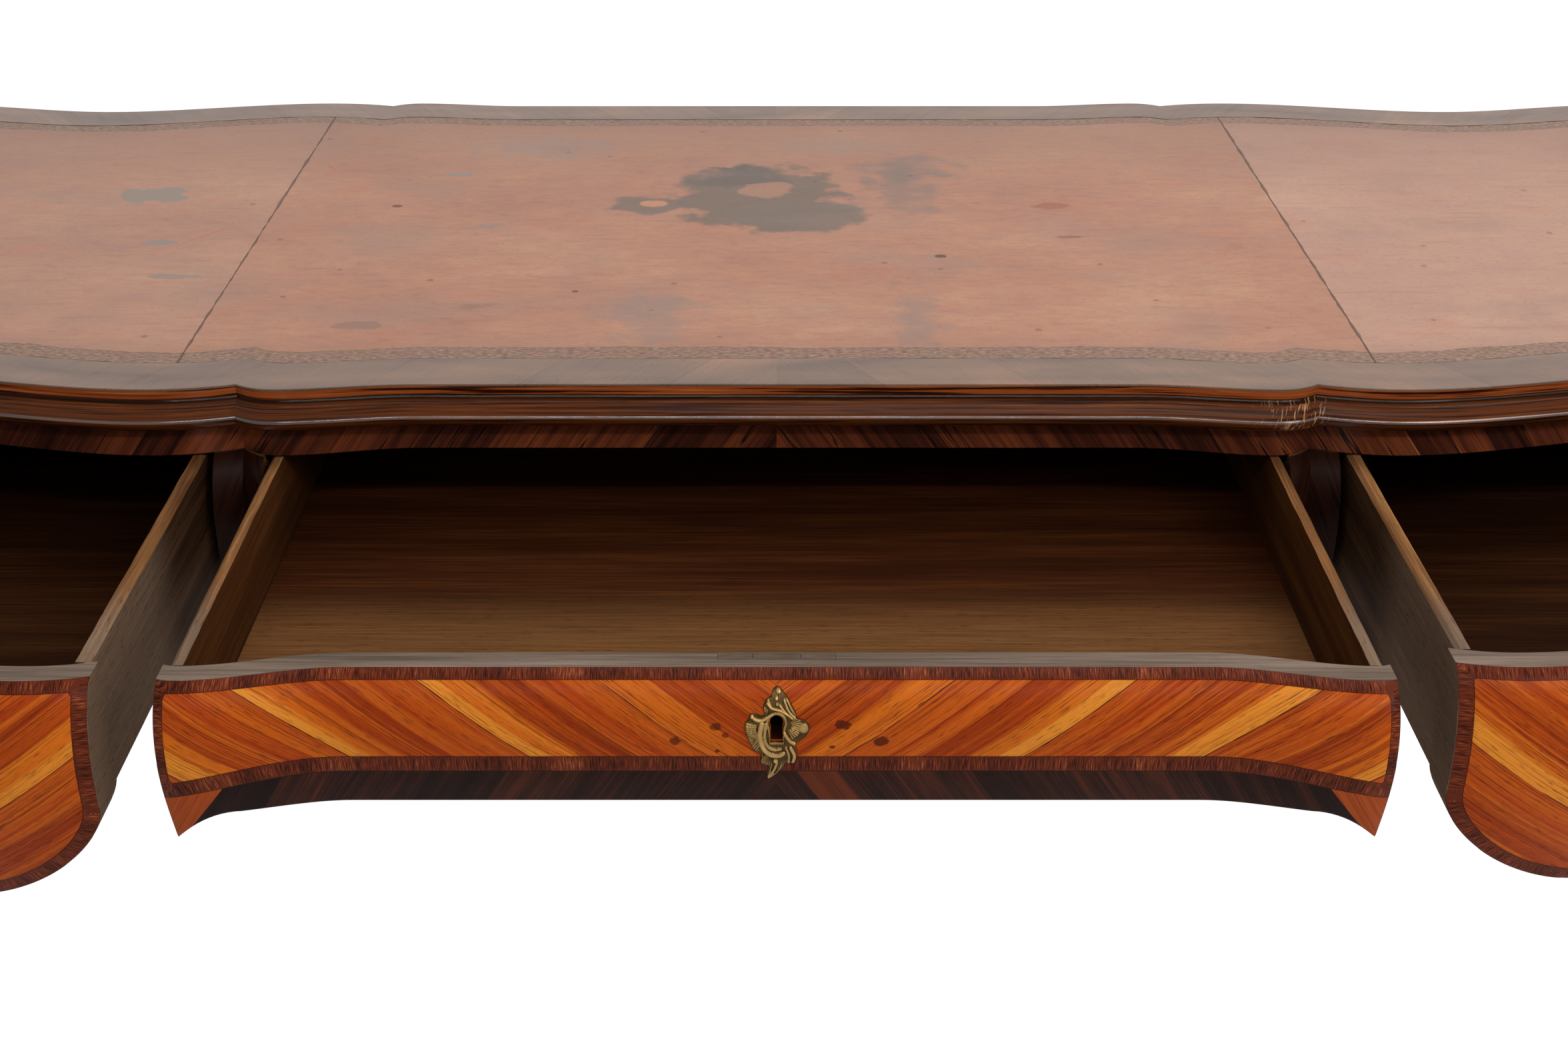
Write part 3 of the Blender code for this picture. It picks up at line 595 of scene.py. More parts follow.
@dataclass(frozen=True)
class KingwoodLeaves:
    """Kingwood veneer in slanted leaves matched to an inverted V, French polished: violet-brown stripes."""

    name: str
    seed: float
    leaf: float = 24.0        # width of a leaf in millimetres
    angle: float = 55.0
    shade: float = 0.0        # how far the wood is painted dark as shade
    gloss: float = 0.12

    def make(self) -> bpy.types.Material:
        """Lay out the leaves and polish them."""
        t = Tree(self.name)
        fx, fy, _ = t.axes("face")
        across, grain = t.diagonal(fx, fy, self.angle, False)
        share, own, tone = t.leaves(across, fx, self.leaf, 0.15, self.seed)
        broad = t.streak(grain, across, 160, 6.0, own, 3.0)
        fine = t.streak(grain, across, 50, 0.9, own, 3.0)
        colour = t.add("ValToRGB", t.sum((tone, 0.28), (fine, 0.35), (broad, 0.65), plus=-0.16), stops=(
            (0.24, "#22100C"), (0.40, "#401D13"), (0.54, "#62301C"), (0.68, "#7E4024"), (0.82, "#A05A32"),
        ))
        colour = t.coat(colour, "#150A09", 1.0, (broad, 0.60, 0.64), (broad, 0.70, 0.64))
        colour = t.seam(colour, "#120807", share, 0.012, broad)
        # Painted shade: mixes the veneer towards near black by shade, for pieces that stand in the shadow of
        # the top.
        colour = t.add("Mix RGBA", self.shade, colour, "#0E0605")
        rough = t.sum((broad, 0.14), plus=0.28)
        return t.finish(colour, rough, t.sum((fine, 0.3), (broad, 1.0)), 0.15, Specular_IOR_Level=self.gloss)


@dataclass(frozen=True)
class BandVeneer:
    """Faded kingwood round the leather, waxed until it mirrors the room: grey-brown, fine slanted pores."""

    name: str = "faded_kingwood_band"
    leaf: float = 95.0        # width of a leaf in millimetres
    angle: float = 58.0

    def make(self) -> bpy.types.Material:
        """Lay out the leaves and wax them."""
        t = Tree(self.name)
        fx, fy, _ = t.axes("strip")
        across, grain = t.diagonal(fx, fy, self.angle, True)
        share, own, tone = t.leaves(across, fx, self.leaf, 0.0, 2.0)
        broad = t.streak(grain, across, 140, 9.0, own, 3.0)
        fine = t.streak(grain, across, 30, 0.8, own, 3.0)
        faded = t.streak(fx, fy, 120, 30, 6.0)
        pores = t.streak(grain, across, 7, 0.35, own, 1.0)
        colour = t.add("ValToRGB", t.sum((tone, 0.10), (fine, 0.3), (faded, 0.7), plus=-0.03), stops=(
            (0.34, "#5A4638"), (0.46, "#6C5344"), (0.58, "#785C4A"), (0.70, "#8A664F"), (0.82, "#A2704F"),
        ))
        colour = t.coat(colour, "#2C1D18", 0.6, (pores, 0.64, 0.74))
        colour = t.seam(colour, "#2A1B16", share, 0.004, broad, 0.5)
        rough = t.sum((broad, 0.14), plus=0.28)
        return t.finish(colour, rough, t.sum((pores, -0.4), (broad, 1.0)), 0.08, Specular_IOR_Level=0.35)


@dataclass(frozen=True)
class PolishedMoulding:
    """Solid palisander run to a moulding, French polished: streaks along it, worn pale on its nose."""

    name: str
    dark: str
    mid: str
    light: str
    scuffed: bool = True
    gloss: float = 0.07
    groove: float = 0.7690    # z above which the groove is painted near black
    nose: float = 0.7522      # z below which the polish is rubbed

    def make(self) -> bpy.types.Material:
        """Streaks along the length, rubbed arris, and the scuffs beside the right-hand notch."""
        t = Tree(self.name)
        fx, fy, _ = t.axes("strip")
        broad = t.streak(fx, fy, 150, 2.4, 1.0, 4.0)
        fine = t.streak(fx, fy, 40, 0.7, 2.0, 3.0)
        colour = t.add("ValToRGB", t.sum((fine, 0.35), (broad, 1.1), plus=-0.22), stops=(
            (0.40, self.dark), (0.50, self.mid), (0.62, self.mid), (0.74, self.light),
        ))
        if self.scuffed:
            x, y, z = t.axes("object")
            # The groove is painted near black above z = groove.
            colour = t.coat(colour, "#120705", 0.85, (z, self.groove - 0.0004, self.groove + 0.0004))
            rubbed = t.streak(fx, fy, 30, 4, 3.0)
            rise = (z, self.nose + 0.0008, self.nose - 0.0007)
            colour = t.coat(colour, "#9A5A30", 0.7, rise, (rubbed, 0.54, 0.62))
            colour = self.scuffs(t, colour, x, y, z)
        return t.finish(colour, t.sum((broad, 0.10), plus=0.08), fine, 0.03, Specular_IOR_Level=self.gloss)

    def scuffs(self, t: Tree, colour: Socket, x: Socket, y: Socket, z: Socket) -> Socket:
        """Pale strokes where the right-hand notch has been knocked, and a chip along the edge below."""
        front = (y, -0.15, -0.18)
        near = t.where((x, 0.340, 0.388), (x, 0.412, 0.396), front)
        stroke = t.streak(t.sum((x, 0.35), (z, 1.0)), t.sum((z, -0.45), (x, 1.0)), 9.0, 1.7, 4.0, 3.0)
        knocked = t.where((t.sum((near, 0.10), (stroke, 1.0)), 0.62, 0.68), share=0.85)
        bare = t.add("Mix RGBA", stroke, "#6A4228", "#C8986A")
        colour = t.add("Mix RGBA", t.add("Math MULTIPLY", near, knocked), colour, bare)
        chips = t.streak(x, z, 8, 3, 8.0, 3.0)
        edge = (z, self.nose - 0.0002, self.nose - 0.0010), (x, 0.326, 0.334), (x, 0.392, 0.386), front
        return t.coat(colour, "#B58458", 1.0, *edge, (chips, 0.40, 0.48))


@dataclass(frozen=True)
class WornLeather:
    """Old vegetable-tanned hide, rubbed to pink and tan, with ink and water stains and a worn border."""

    seam: float
    border: float = 0.0225
    name: str = "worn_hide"
    stains: tuple[Stain, ...] = (
        Stain(-0.018, 0.232, 0.080, 0.098, 0.92, "#6A5A4E", 0.55),
        Stain(0.022, 0.178, 0.062, 0.046, 0.90, "#6F5F53", 0.5),
        Stain(-0.118, 0.208, 0.036, 0.026, 0.85, "#6A5C52", 0.6),
        Stain(-0.040, 0.290, 0.052, 0.032, 0.60, "#58504A", 0.8),
        Stain(-0.011, 0.252, 0.026, 0.024, 0.70, "#A87862", 0.7),
        Stain(-0.112, 0.212, 0.013, 0.010, 0.95, "#B98062", 0.4),
        Stain(0.120, 0.318, 0.060, 0.050, 0.55, "#6C625C", 1.3),
        Stain(0.115, 0.250, 0.044, 0.090, 0.50, "#6E635C", 1.4),
        Stain(0.060, 0.395, 0.090, 0.040, 0.35, "#8A7A70", 1.6),
        Stain(-0.235, 0.390, 0.070, 0.050, 0.45, "#8A7B72", 1.3),
        Stain(-0.575, 0.235, 0.034, 0.022, 0.75, "#7F7A70", 1.1),
        Stain(-0.505, 0.020, 0.022, 0.006, 0.65, "#7A7570", 0.9),
        Stain(-0.535, 0.105, 0.016, 0.007, 0.70, "#7D7A74", 0.8),
        Stain(-0.255, 0.150, 0.022, 0.008, 0.55, "#7D7670", 1.2),
        Stain(-0.300, 0.300, 0.016, 0.007, 0.65, "#817C76", 0.8),
        Stain(0.252, 0.205, 0.020, 0.008, 0.60, "#8A4A2C", 0.9),
        Stain(-0.245, -0.050, 0.020, 0.012, 0.55, "#7E5A4A", 1.2),
        Stain(-0.330, -0.092, 0.018, 0.009, 0.60, "#7A5F52", 1.1),
        Stain(0.110, -0.090, 0.026, 0.090, 0.50, "#7E6E66", 1.6),
        Stain(-0.100, -0.070, 0.050, 0.070, 0.45, "#80706A", 1.7),
        Stain(0.140, 0.070, 0.005, 0.004, 0.90, "#4A342A", 0.6),
        Stain(-0.345, 0.205, 0.005, 0.004, 0.90, "#5A3226", 0.6),
        Stain(0.255, 0.120, 0.012, 0.004, 0.65, "#7A4632", 0.8),
        Stain(-0.165, -0.015, 0.0035, 0.003, 0.85, "#5A342A", 0.6),
    )
    scratches: tuple[tuple[float, float, float, float], ...] = (   # x, y, length and turn in degrees
        (-0.690, 0.115, 0.085, 8.0), (-0.500, 0.125, 0.060, 52.0), (-0.612, 0.045, 0.016, -30.0),
        (-0.425, 0.320, 0.022, -62.0), (-0.200, 0.020, 0.020, -18.0), (0.600, 0.160, 0.030, 12.0),
        (-0.640, 0.330, 0.018, 20.0),
    )

    def make(self) -> bpy.types.Material:
        """Mottle the hide, lay the stains and scratches over it, and wear its border and seams."""
        t = Tree(self.name)
        x, y, _ = t.axes("object")
        _, inset, _ = t.axes("rim")
        cloud = t.streak(x, y, 210, 150, 0.0, 4.0)
        mottle = t.streak(x, y, 46, 22, 4.0, 5.0)
        speck = t.streak(x, y, 4.5, 2.6, 7.0, 3.0)
        grain = t.streak(x, y, 15, 7, 5.0, 5.0)
        colour = t.add("ValToRGB", t.sum((grain, 0.35), (mottle, 0.35), (cloud, 0.45), plus=-0.06), stops=(
            (0.34, "#966450"), (0.45, "#A3715B"), (0.55, "#AB7A61"), (0.67, "#B5886D"),
        ))
        # Painted light: the right-hand hide is laid paler, as light falling from the right.
        colour = t.coat(colour, "#BFA294", 0.30, (x, self.seam - 0.001, self.seam + 0.001))
        colour = t.coat(colour, "#B69888", 0.15, (x, 0.001 - self.seam, -0.001 - self.seam))
        colour = t.coat(colour, "#B06A50", 0.35, (t.streak(x, y, 90, 60, 11.0, 3.0), 0.54, 0.76))
        colour = t.coat(colour, "#927467", 0.50, (t.streak(x, y, 130, 90, 15.0, 5.0), 0.50, 0.72))
        # Painted shade: darker within 60 mm of the hide's edge, and darker still towards the back.
        colour = t.coat(colour, "#846657", 0.30, (inset, 0.060, 0.012))
        colour = t.coat(colour, "#8A6A5A", 0.40, (y, 0.22, 0.46))
        colour = t.coat(colour, "#8A6452", 0.32, (t.streak(x, y, 60, 7, 17.0, 4.0), 0.54, 0.72))
        torn = t.sum((t.streak(x, y, 26, 26, 21.0, 4.0), 1.0), plus=-0.5)
        for stain in self.stains:
            colour = t.mark(colour, x, y, torn, stain)
        for scratch in self.scratches:
            colour = self.scratch(t, colour, x, y, *scratch)
        colour = t.coat(colour, "#7A5644", 0.40, (speck, 0.56, 0.74))
        colour = t.coat(colour, "#84604F", 0.30, (grain, 0.56, 0.72))
        colour = t.coat(colour, "#AE5634", 0.55, (t.streak(x, y, 8, 2.4, 61.0, 2.0), 0.70, 0.76))
        colour = t.coat(colour, "#827A76", 0.5, (t.streak(x, y, 16, 7, 63.0, 1.0), 0.74, 0.80))
        dots = t.add("TexVoronoi", t.add("CombineXYZ", x, y), 21.0)
        colour = t.coat(colour, "#6A4234", 0.55, (dots, 0.075, 0.04))
        worn, strip = self.tooled(t, x, y, inset)
        colour = t.add("Mix RGBA", worn, colour, strip)
        ragged = t.sum((t.streak(x, y, 9, 30, 31.0, 4.0), 0.0056), plus=-0.0017)
        cut = t.add("Math LESS_THAN", t.away(t.away(x), self.seam), ragged)
        colour = t.add("Mix RGBA", t.sum((cut, 0.75)), colour, "#523A2E")
        pebble = t.streak(x, y, 1.6, 1.3, 41.0, 2.0)
        height = t.sum((speck, 0.5), (pebble, 0.35), (worn, -0.6))
        return t.finish(colour, t.sum((mottle, 0.22), plus=0.36), height, 0.18, Specular_IOR_Level=0.2)

    def scratch(
        self, t: Tree, colour: Socket, x: Socket, y: Socket, at: float, up: float, length: float, turn: float,
    ) -> Socket:
        """Lay a thin red scratch, a little bowed, over a colour.

        Args:
            t: The leather's tree.
            colour: Its colour so far.
            x: Place along the top.
            y: Place across it.
            at: x of the scratch's middle.
            up: y of it.
            length: Length of the scratch.
            turn: Its slope in degrees.

        Returns:
            The scratched colour.
        """
        cosine = math.cos(math.radians(turn))
        sine = math.sin(math.radians(turn))
        along = t.sum((x, cosine), (y, sine), plus=-at * cosine - up * sine)
        across = t.sum((x, -sine), (y, cosine), plus=at * sine - up * cosine)
        across = t.sum((t.add("Math MULTIPLY", along, along), 2.2), (across, 1.0))
        line = (t.away(across), 0.0011, 0.0004)
        return t.coat(colour, "#B4502C", 0.7, line, (t.away(along), length / 2, length / 3))

    def tooled(self, t: Tree, x: Socket, y: Socket, inset: Socket) -> tuple[Socket, Socket]:
        """Worn border inside the band: its share, and its grey, speckled colour."""
        wave = t.streak(x, y, 70, 70, 51.0, 3.0)
        fray = t.streak(x, y, 6, 6, 53.0, 3.0)
        crumb = t.streak(x, y, 5, 2.0, 55.0, 5.0)
        clear = t.sum((inset, -1.0), (wave, 0.012), (fray, 0.006), plus=self.border - 0.009)
        colour = t.add("ValToRGB", crumb, stops=(
            (0.34, "#5C4739"), (0.46, "#765C4B"), (0.55, "#896B5A"), (0.68, "#A28069"),
        ))
        colour = t.coat(colour, "#4E3A2E", 0.55, (t.streak(x, y, 12, 1.1, 57.0, 4.0), 0.56, 0.70))
        colour = t.coat(colour, "#5C4538", 0.45, (clear, 0.0022, 0.0006))
        colour = t.coat(colour, "#33231C", 1.0, (inset, 0.0014, 0.0005))
        return t.where((clear, -0.0006, 0.0008), share=0.9), colour


@dataclass(frozen=True)
class OldOak:
    """Oak, planed by hand and never polished, brown with age: open pores along the grain."""

    name: str
    deep: str
    mid: str
    pale: str
    along: int = 0            # axis of the grain: 0 is x, 1 is y
    roughness: float = 0.58
    coarse: float = 1.0       # how strongly the pores show
    front: float | None = None   # where the wood turns paler, along y
    worn: tuple[str, str] = ("#442812", "#8A5E38")   # its colours there

    def make(self) -> bpy.types.Material:
        """Draw the grain along the board."""
        t = Tree(self.name)
        axes = t.axes("object")
        grain = axes[self.along]
        across = t.sum((axes[2], 1.7), (axes[1 - self.along], 1.0))
        broad = t.streak(grain, across, 420, 26, 3.0, 4.0)
        fine = t.streak(grain, across, 90, 2.4, 5.0, 4.0)
        pores = t.streak(grain, across, 14, self.coarse, 9.0, 2.0)
        colour = t.add("ValToRGB", t.sum((fine, 0.5), (broad, 0.75), plus=-0.12), stops=(
            (0.32, self.deep), (0.52, self.mid), (0.74, self.pale),
        ))
        dark = t.where((pores, 0.60, 0.70), share=0.55 * self.coarse)
        colour = t.add("Mix RGBA", dark, colour, self.deep)
        colour = t.coat(colour, self.pale, 0.25, (t.streak(grain, across, 30, 1.2, 13.0, 3.0), 0.70, 0.78))
        holes = t.add("TexVoronoi", t.add("CombineXYZ", *axes), 9.0)
        colour = t.coat(colour, "#120A06", 1.0, (holes, 0.024, 0.016))
        if self.front is not None:
            paler = t.add("Mix RGBA", t.sum((dark, -0.8), (fine, 1.0)), *self.worn)
            colour = t.coat(colour, paler, 0.8, (axes[1], self.front + 0.05, self.front - 0.04))
        rough = t.sum((fine, 0.15), plus=self.roughness - 0.08)
        height = t.sum((pores, -0.5), (fine, 1.0))
        return t.finish(colour, rough, height, 0.22 * self.coarse, Specular_IOR_Level=0.02)


@dataclass(frozen=True)
class CastBrass:
    """Brass, sand cast and chased, dulled by handling: dark in the hollows, bright on the ridges."""

    name: str = "chased_brass"
    grains: float = 700.0     # grains of the casting sand to a metre, each about 1.4 mm
    clouds: float = 120.0     # patches of tarnish to a metre, each about 8 mm

    def make(self) -> bpy.types.Material:
        """Tone the metal by its relief and roughen it."""
        t = Tree(self.name)
        _, lift, _ = t.axes("relief")
        vector = t.add("TexCoord", out="Object")
        cast = t.add("TexNoise", vector, self.grains, 4.0)
        cloud = t.add("TexNoise", vector, self.clouds, 3.0)
        colour = t.add("ValToRGB", t.sum((lift, 430.0), (cloud, 0.4), plus=-0.40), stops=(
            (0.0, "#2A1D0C"), (0.22, "#584426"), (0.48, "#866A40"), (0.75, "#AC8A58"), (1.0, "#CCAE74"),
        ))
        return t.finish(colour, t.sum((cast, 0.25), plus=0.30), cast, 0.05, Metallic=1.0)


@dataclass(frozen=True)
class LockIron:
    """Wrought iron, filed flat and darkened: file strokes along x, thin rust."""

    name: str = "filed_iron"

    def make(self) -> bpy.types.Material:
        """Draw the file strokes."""
        t = Tree(self.name)
        x, y, z = t.axes("object")
        strokes = t.streak(x, t.sum((z, 1.3), (y, 1.0)), 14, 0.5, 2.0, 3.0)
        rust = t.streak(x, y, 9, 6, 5.0, 4.0)
        colour = t.add("ValToRGB", strokes, stops=((0.3, "#34291F"), (0.55, "#564536"), (0.75, "#6C5948")))
        colour = t.coat(colour, "#5A3A28", 0.5, (rust, 0.55, 0.7))
        rough = t.sum((rust, 0.3), plus=0.45)
        return t.finish(colour, rough, strokes, 0.05, Metallic=0.15, Specular_IOR_Level=0.2)


# Sub-assemblies

def dress(nodes: Iterable[str], look: bpy.types.Material) -> None:
    """Give nodes of the frame whose shape stays a better finish."""
    for name in nodes:
        for place in frame["nodes"][name].material_slots:
            place.material = look
        log.info("%s: kept, %s", name, look.name)


@dataclass(frozen=True)
class Plan:
    """Serpentine plan and bombe section that all the pieces share.

    Lengths are in metres. The origin is on the floor under the middle of the top.
    """

    shift: float              # where the middle of the top lies along the frame's y
    drawer_top: float
    case_top: float
    height: float = 0.780
    half_width: float = 0.875
    half_depth: float = 0.372
    cusp: float = 0.400
    shoulder_run: float = 0.028
    sway_run: float = 0.104
    lobe_run: float = 0.065
    hollow_inset: float = 0.185
    top_crest: float = 0.010
    frame_crest: float = 0.014
    hollow: float = 0.022
    corner_out: float = 0.005
    end_hollow: float = 0.014
    face: float = 0.367
    centre_crest: float = 0.017   # crest of the centre drawer and of the dividers beside it
    bulge: float = 0.0225
    bulge_power: float = 0.66
    step: float = 0.005       # longest stretch between two columns of a mesh

    @classmethod
    def read(cls) -> "Plan":
        """Take the plan's place from the frame."""
        low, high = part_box("leather_centre")
        return cls((low.y + high.y) / 2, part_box("centre_drawer_front")[1].z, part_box("front_rail")[1].z)

    def sway(self, x: float, crest: float) -> float:
        """How far the plan swings forward at x."""
        out = abs(x)
        shoulder = self.cusp - self.shoulder_run
        lobe = self.cusp + self.lobe_run
        turn = self.half_width - self.hollow_inset
        if out <= shoulder:
            return crest * ease((out - shoulder + self.sway_run) / self.sway_run)
        if out <= self.cusp:
            return crest * (1 - ((out - shoulder) / self.shoulder_run) ** 2)
        if out <= lobe:
            return crest * (1 - ((lobe - out) / self.lobe_run) ** 2)
        if out <= turn:
            return crest - (crest + self.hollow) * ease((out - lobe) / (turn - lobe))
        return (self.hollow + self.corner_out) * ease((out - turn) / self.hollow_inset) - self.hollow

    def belly(self, drop: float, height: float) -> float:
        """How far a bombe front swells at a drop below its top."""
        return self.bulge * math.sin(math.pi * min(max(drop / height, 0.0), 1.0) ** self.bulge_power)

    def girth(self, drops: np.ndarray, height: float, flat: float = 0.0) -> np.ndarray:
        """Length down a bombe face to each drop.

        Args:
            drops: Drops below the top of the face.
            height: Height over which the face swells.
            flat: Height of the flat part above the swell.

        Returns:
            The lengths, measured along the veneer.
        """
        fine = np.linspace(0.0, height, 500)
        swell = np.array([self.belly(drop, height) for drop in fine])
        length = np.concatenate(([0.0], np.cumsum(np.hypot(np.diff(fine), np.diff(swell)))))
        return np.minimum(drops, flat) + np.interp(drops - flat, fine, length)

    def front(self, x: float, drop: float = 0.0, height: float = 1.0, framed: bool = False) -> float:
        """y of a drawer's face, or of the frame round the drawers, at x, swelling over a height."""
        crest = self.frame_crest if framed or abs(x) >= self.cusp else self.centre_crest
        return -(self.face + self.sway(x, crest) + self.belly(drop, height))

    def columns(self, start: float, end: float, step: float | None = None) -> list[float]:
        """Stations across a front, with one on each notch of the plan."""
        return span(start, end, step or self.step, (-self.cusp, self.cusp))


@dataclass(frozen=True)
class Bands:
    """Widths of the crossbands round a panel, measured along the veneer."""

    top: float = BAND
    low: float = BAND
    end: float = BAND


def panel_maps(
    bm: bmesh.types.BMesh, flat: dict[bmesh.types.BMVert, Spot], middle: float,
    foot: Callable[[float], float], girth: Callable[[np.ndarray], np.ndarray], bands: Bands = Bands(),
) -> None:
    """Write the two maps that marquetry follows.

    Args:
        bm: The panel's face.
        flat: Place along the panel and drop below its top, for each vertex.
        middle: Where the veneer is matched.
        foot: Lower edge of the crossbanded part.
        girth: Length down the face to each of some drops.
        bands: Widths of the crossbands; the map draws each of them as if it were BAND wide.
    """
    points = np.array(list(flat.values()))
    columns = np.unique(points[:, 0])
    low = np.column_stack((columns, girth(np.array([foot(x) for x in columns]))))
    points[:, 1] = girth(points[:, 1])
    lines = [(low, bands.low), (low * (1, 0), bands.top)]
    lines += [(np.array((corner * (1, 0), corner)), bands.end) for corner in low[[0, -1]]]
    along, clear = nearest(points, low)
    inset = np.full(len(points), np.inf)
    for line, width in lines:
        far, gap = nearest(points, line)
        along = np.where(gap * BAND / width < inset, far, along)
        inset = np.minimum(gap * BAND / width, inset)
    below = points[:, 1] > np.interp(points[:, 0], *low.T) + 1e-6
    inset = np.where(below, -clear, inset)
    paint(bm, "face", {vert: (x - middle, down) for vert, (x, down) in zip(flat, points)})
    paint(bm, "rim", {vert: (a, i) for vert, a, i in zip(flat, along, inset)})


@dataclass(frozen=True)
class WritingTop:
    """Three hides, the veneered band round them, and the moulded edge."""

    plan: Plan
    skin: float = 0.0018
    band: float = 0.050
    seam: float = 0.453
    seat: float = 0.012
    proud: float = 0.0135
    depth: float = 0.030
    fillet: float = 0.0085
    bead: float = 0.34        # part of the moulding's height below the fillet
    dip: float = 0.0005       # how far the leather sinks in its worn places

    def build(self, oak: bpy.types.Material) -> None:
        """Build and dress the top on its oak core."""
        hide = WornLeather(self.seam).make()
        self.hide("leather_centre", None, hide)
        for side in Side:
            self.hide(f"leather_{side.name.lower()}", side, hide)
        band = BandVeneer().make()
        fillet = PolishedMoulding("red_palisander_fillet", "#2C1108", "#964A22", "#C46E34", False).make()
        slope = PolishedMoulding("palisander_moulding", "#2C1308", "#54290F", "#744019").make()
        nose = PolishedMoulding("palisander_nose", "#2C1308", "#54290F", "#744019", gloss=0.7).make()
        for edge in Edge:
            name = edge.name.lower()
            low = self.plan.height - self.skin
            section = (
                (-self.band, low), (0.0, low), (0.0, low + self.skin * 0.75),
                (-self.skin * 0.25, self.plan.height), (-self.band, self.plan.height),
            )
            bm = self.strip(section, edge, lambda c, r: 0)
            piece(f"top_band_{name}_veneered", bm, [band], "case", f"top_band_{name}")
            section = self.moulding()
            bm = self.strip(section, edge, lambda c, r: 0 if r < 5 else 2 if r in (15, 16) else 1)
            node = f"edge_moulding_{name}"
            piece(f"{node}_polished", bm, [fillet, slope, nose], "case", node)
        dress(["top_panel"], oak)

    def edge(self, x: float, reach: float, short: float = 0.0) -> Spot:
        """Front edge at a reach past the arris; x runs out to the mitre."""
        plan = self.plan
        turn = plan.half_width - plan.hollow_inset
        beyond = max(abs(x) - turn, 0.0) * (plan.hollow_inset + reach - short) / plan.hollow_inset
        along = math.copysign(min(abs(x), turn) + beyond, x)
        return along, -(plan.half_depth + plan.sway(along, plan.top_crest) + reach)

    def end(self, share: float, reach: float, short: float = 0.0) -> Spot:
        """Right-hand end at a reach past the arris; share runs from -1 to 1 along it."""
        plan = self.plan
        half = plan.half_depth + reach + plan.sway(plan.half_width + reach, plan.top_crest) - short
        return plan.half_width + reach - plan.end_hollow * math.sin(math.pi * share) ** 2, share * half

    def strip(
        self, section: Sequence[Spot], edge: Edge, region: Callable[[float, float], int],
    ) -> bmesh.types.BMesh:
        """Mitred strip along one edge of the top.

        Args:
            section: Its section, as reach past the arris and z.
            edge: The edge it lies on.
            region: Material of each part of the section.

        Returns:
            The closed strip.
        """
        plan = self.plan
        lengthwise, turn = edge.value
        ring = [*section, section[0]]
        girth = [0.0]
        for near, far in zip(ring, ring[1:]):
            girth.append(girth[-1] + math.dist(near, far))
        if lengthwise:
            line, scale = self.edge, 1.0
            columns = plan.columns(-plan.half_width, plan.half_width)
        else:
            line, scale = self.end, plan.half_depth
            columns = span(-1.0, 1.0, plan.step / plan.half_depth)
        rows = range(len(ring))
        bm, spots = grid(columns, rows, lambda c, r: (*line(c, ring[r][0], GAP), ring[r][1]), region)
        paint(bm, "strip", {vert: (c * scale, girth[r]) for vert, (c, r) in spots.items()})
        close(bm)
        bmesh.ops.rotate(bm, verts=bm.verts, matrix=Matrix.Rotation(turn, 3, "Z"))
        bmesh.ops.translate(bm, verts=bm.verts, vec=(0, plan.shift, 0))
        return bm

    def moulding(self) -> list[Spot]:
        """Fillet, groove, swelling ogee and bottom bead, as reach past the arris and z."""
        top = self.plan.height - self.skin
        foot = self.plan.height - self.depth
        quirk = self.plan.height - self.fillet
        height = quirk - foot
        bead = self.bead * height
        start = quirk - 0.12 * height
        section = [(-self.seat, foot), (-self.seat, top), (0.0, top), (0.0, quirk + 0.0006), (-0.0005, quirk)]
        section.append((-0.15 * self.proud, quirk - 0.06 * height))
        section.append((-0.10 * self.proud, start + 0.01 * height))
        for i in range(11):
            share = i / 10
            section.append((self.proud * (0.2 + 0.8 * ease(share)), start - share * (start - foot - bead)))
        for i in range(1, 9):
            turn = math.pi / 2 * i / 8
            reach = self.proud - bead * (1 - math.cos(turn))
            section.append((reach, foot + bead - bead * math.sin(turn)))
        return section

    def hide(self, node: str, side: Side | None, look: bpy.types.Material) -> None:
        """One panel of leather, sunk a little where it is worn.

        Args:
            node: The node it stands for.
            side: The end it lies at, or none for the middle one.
            look: The leather.
        """
        plan = self.plan
        reach = -self.band - GAP
        near = [0.0, 0.001, 0.003, 0.010, 0.022, 0.034, 0.050]
        rows = sorted({-1 + 2 * t for t in near} | {1 - 2 * t for t in near} | set(span(-0.9, 0.9, 0.03)))
        inset = {}

        def lie(column: float, share: float) -> tuple[float, float, float]:
            """Point of the hide at a column and a share of its depth."""
            x = column
            if side:
                out = self.end(share, reach)[0]
                x = self.seam + column * (out - self.seam)
            half = plan.half_depth + plan.sway(x, plan.top_crest) + reach
            clear = half * (1 - abs(share))
            if side:
                clear = min(clear, out - x)
                x *= side.value
            y = share * half + plan.shift
            worn = (0.5 + noise.noise((x * 60, y * 60, 0))) * max(0.3, 1 - clear / 0.03)
            inset[column, share] = clear
            return x, y, plan.height - self.dip * min(max(worn, 0.0), 1.0)

        edge = self.seam - GAP
        columns = span(0, 1, 0.012) if side else plan.columns(-edge, edge, 0.005)
        bm, spots = grid(columns, rows, lie)
        paint(bm, "rim", {vert: (0.0, inset[spot]) for vert, spot in spots.items()})
        thicken(bm, lambda co: (co.x, co.y, plan.height - self.skin), 0, 0)
        piece(f"{node}_worn", bm, [look], "case", node)


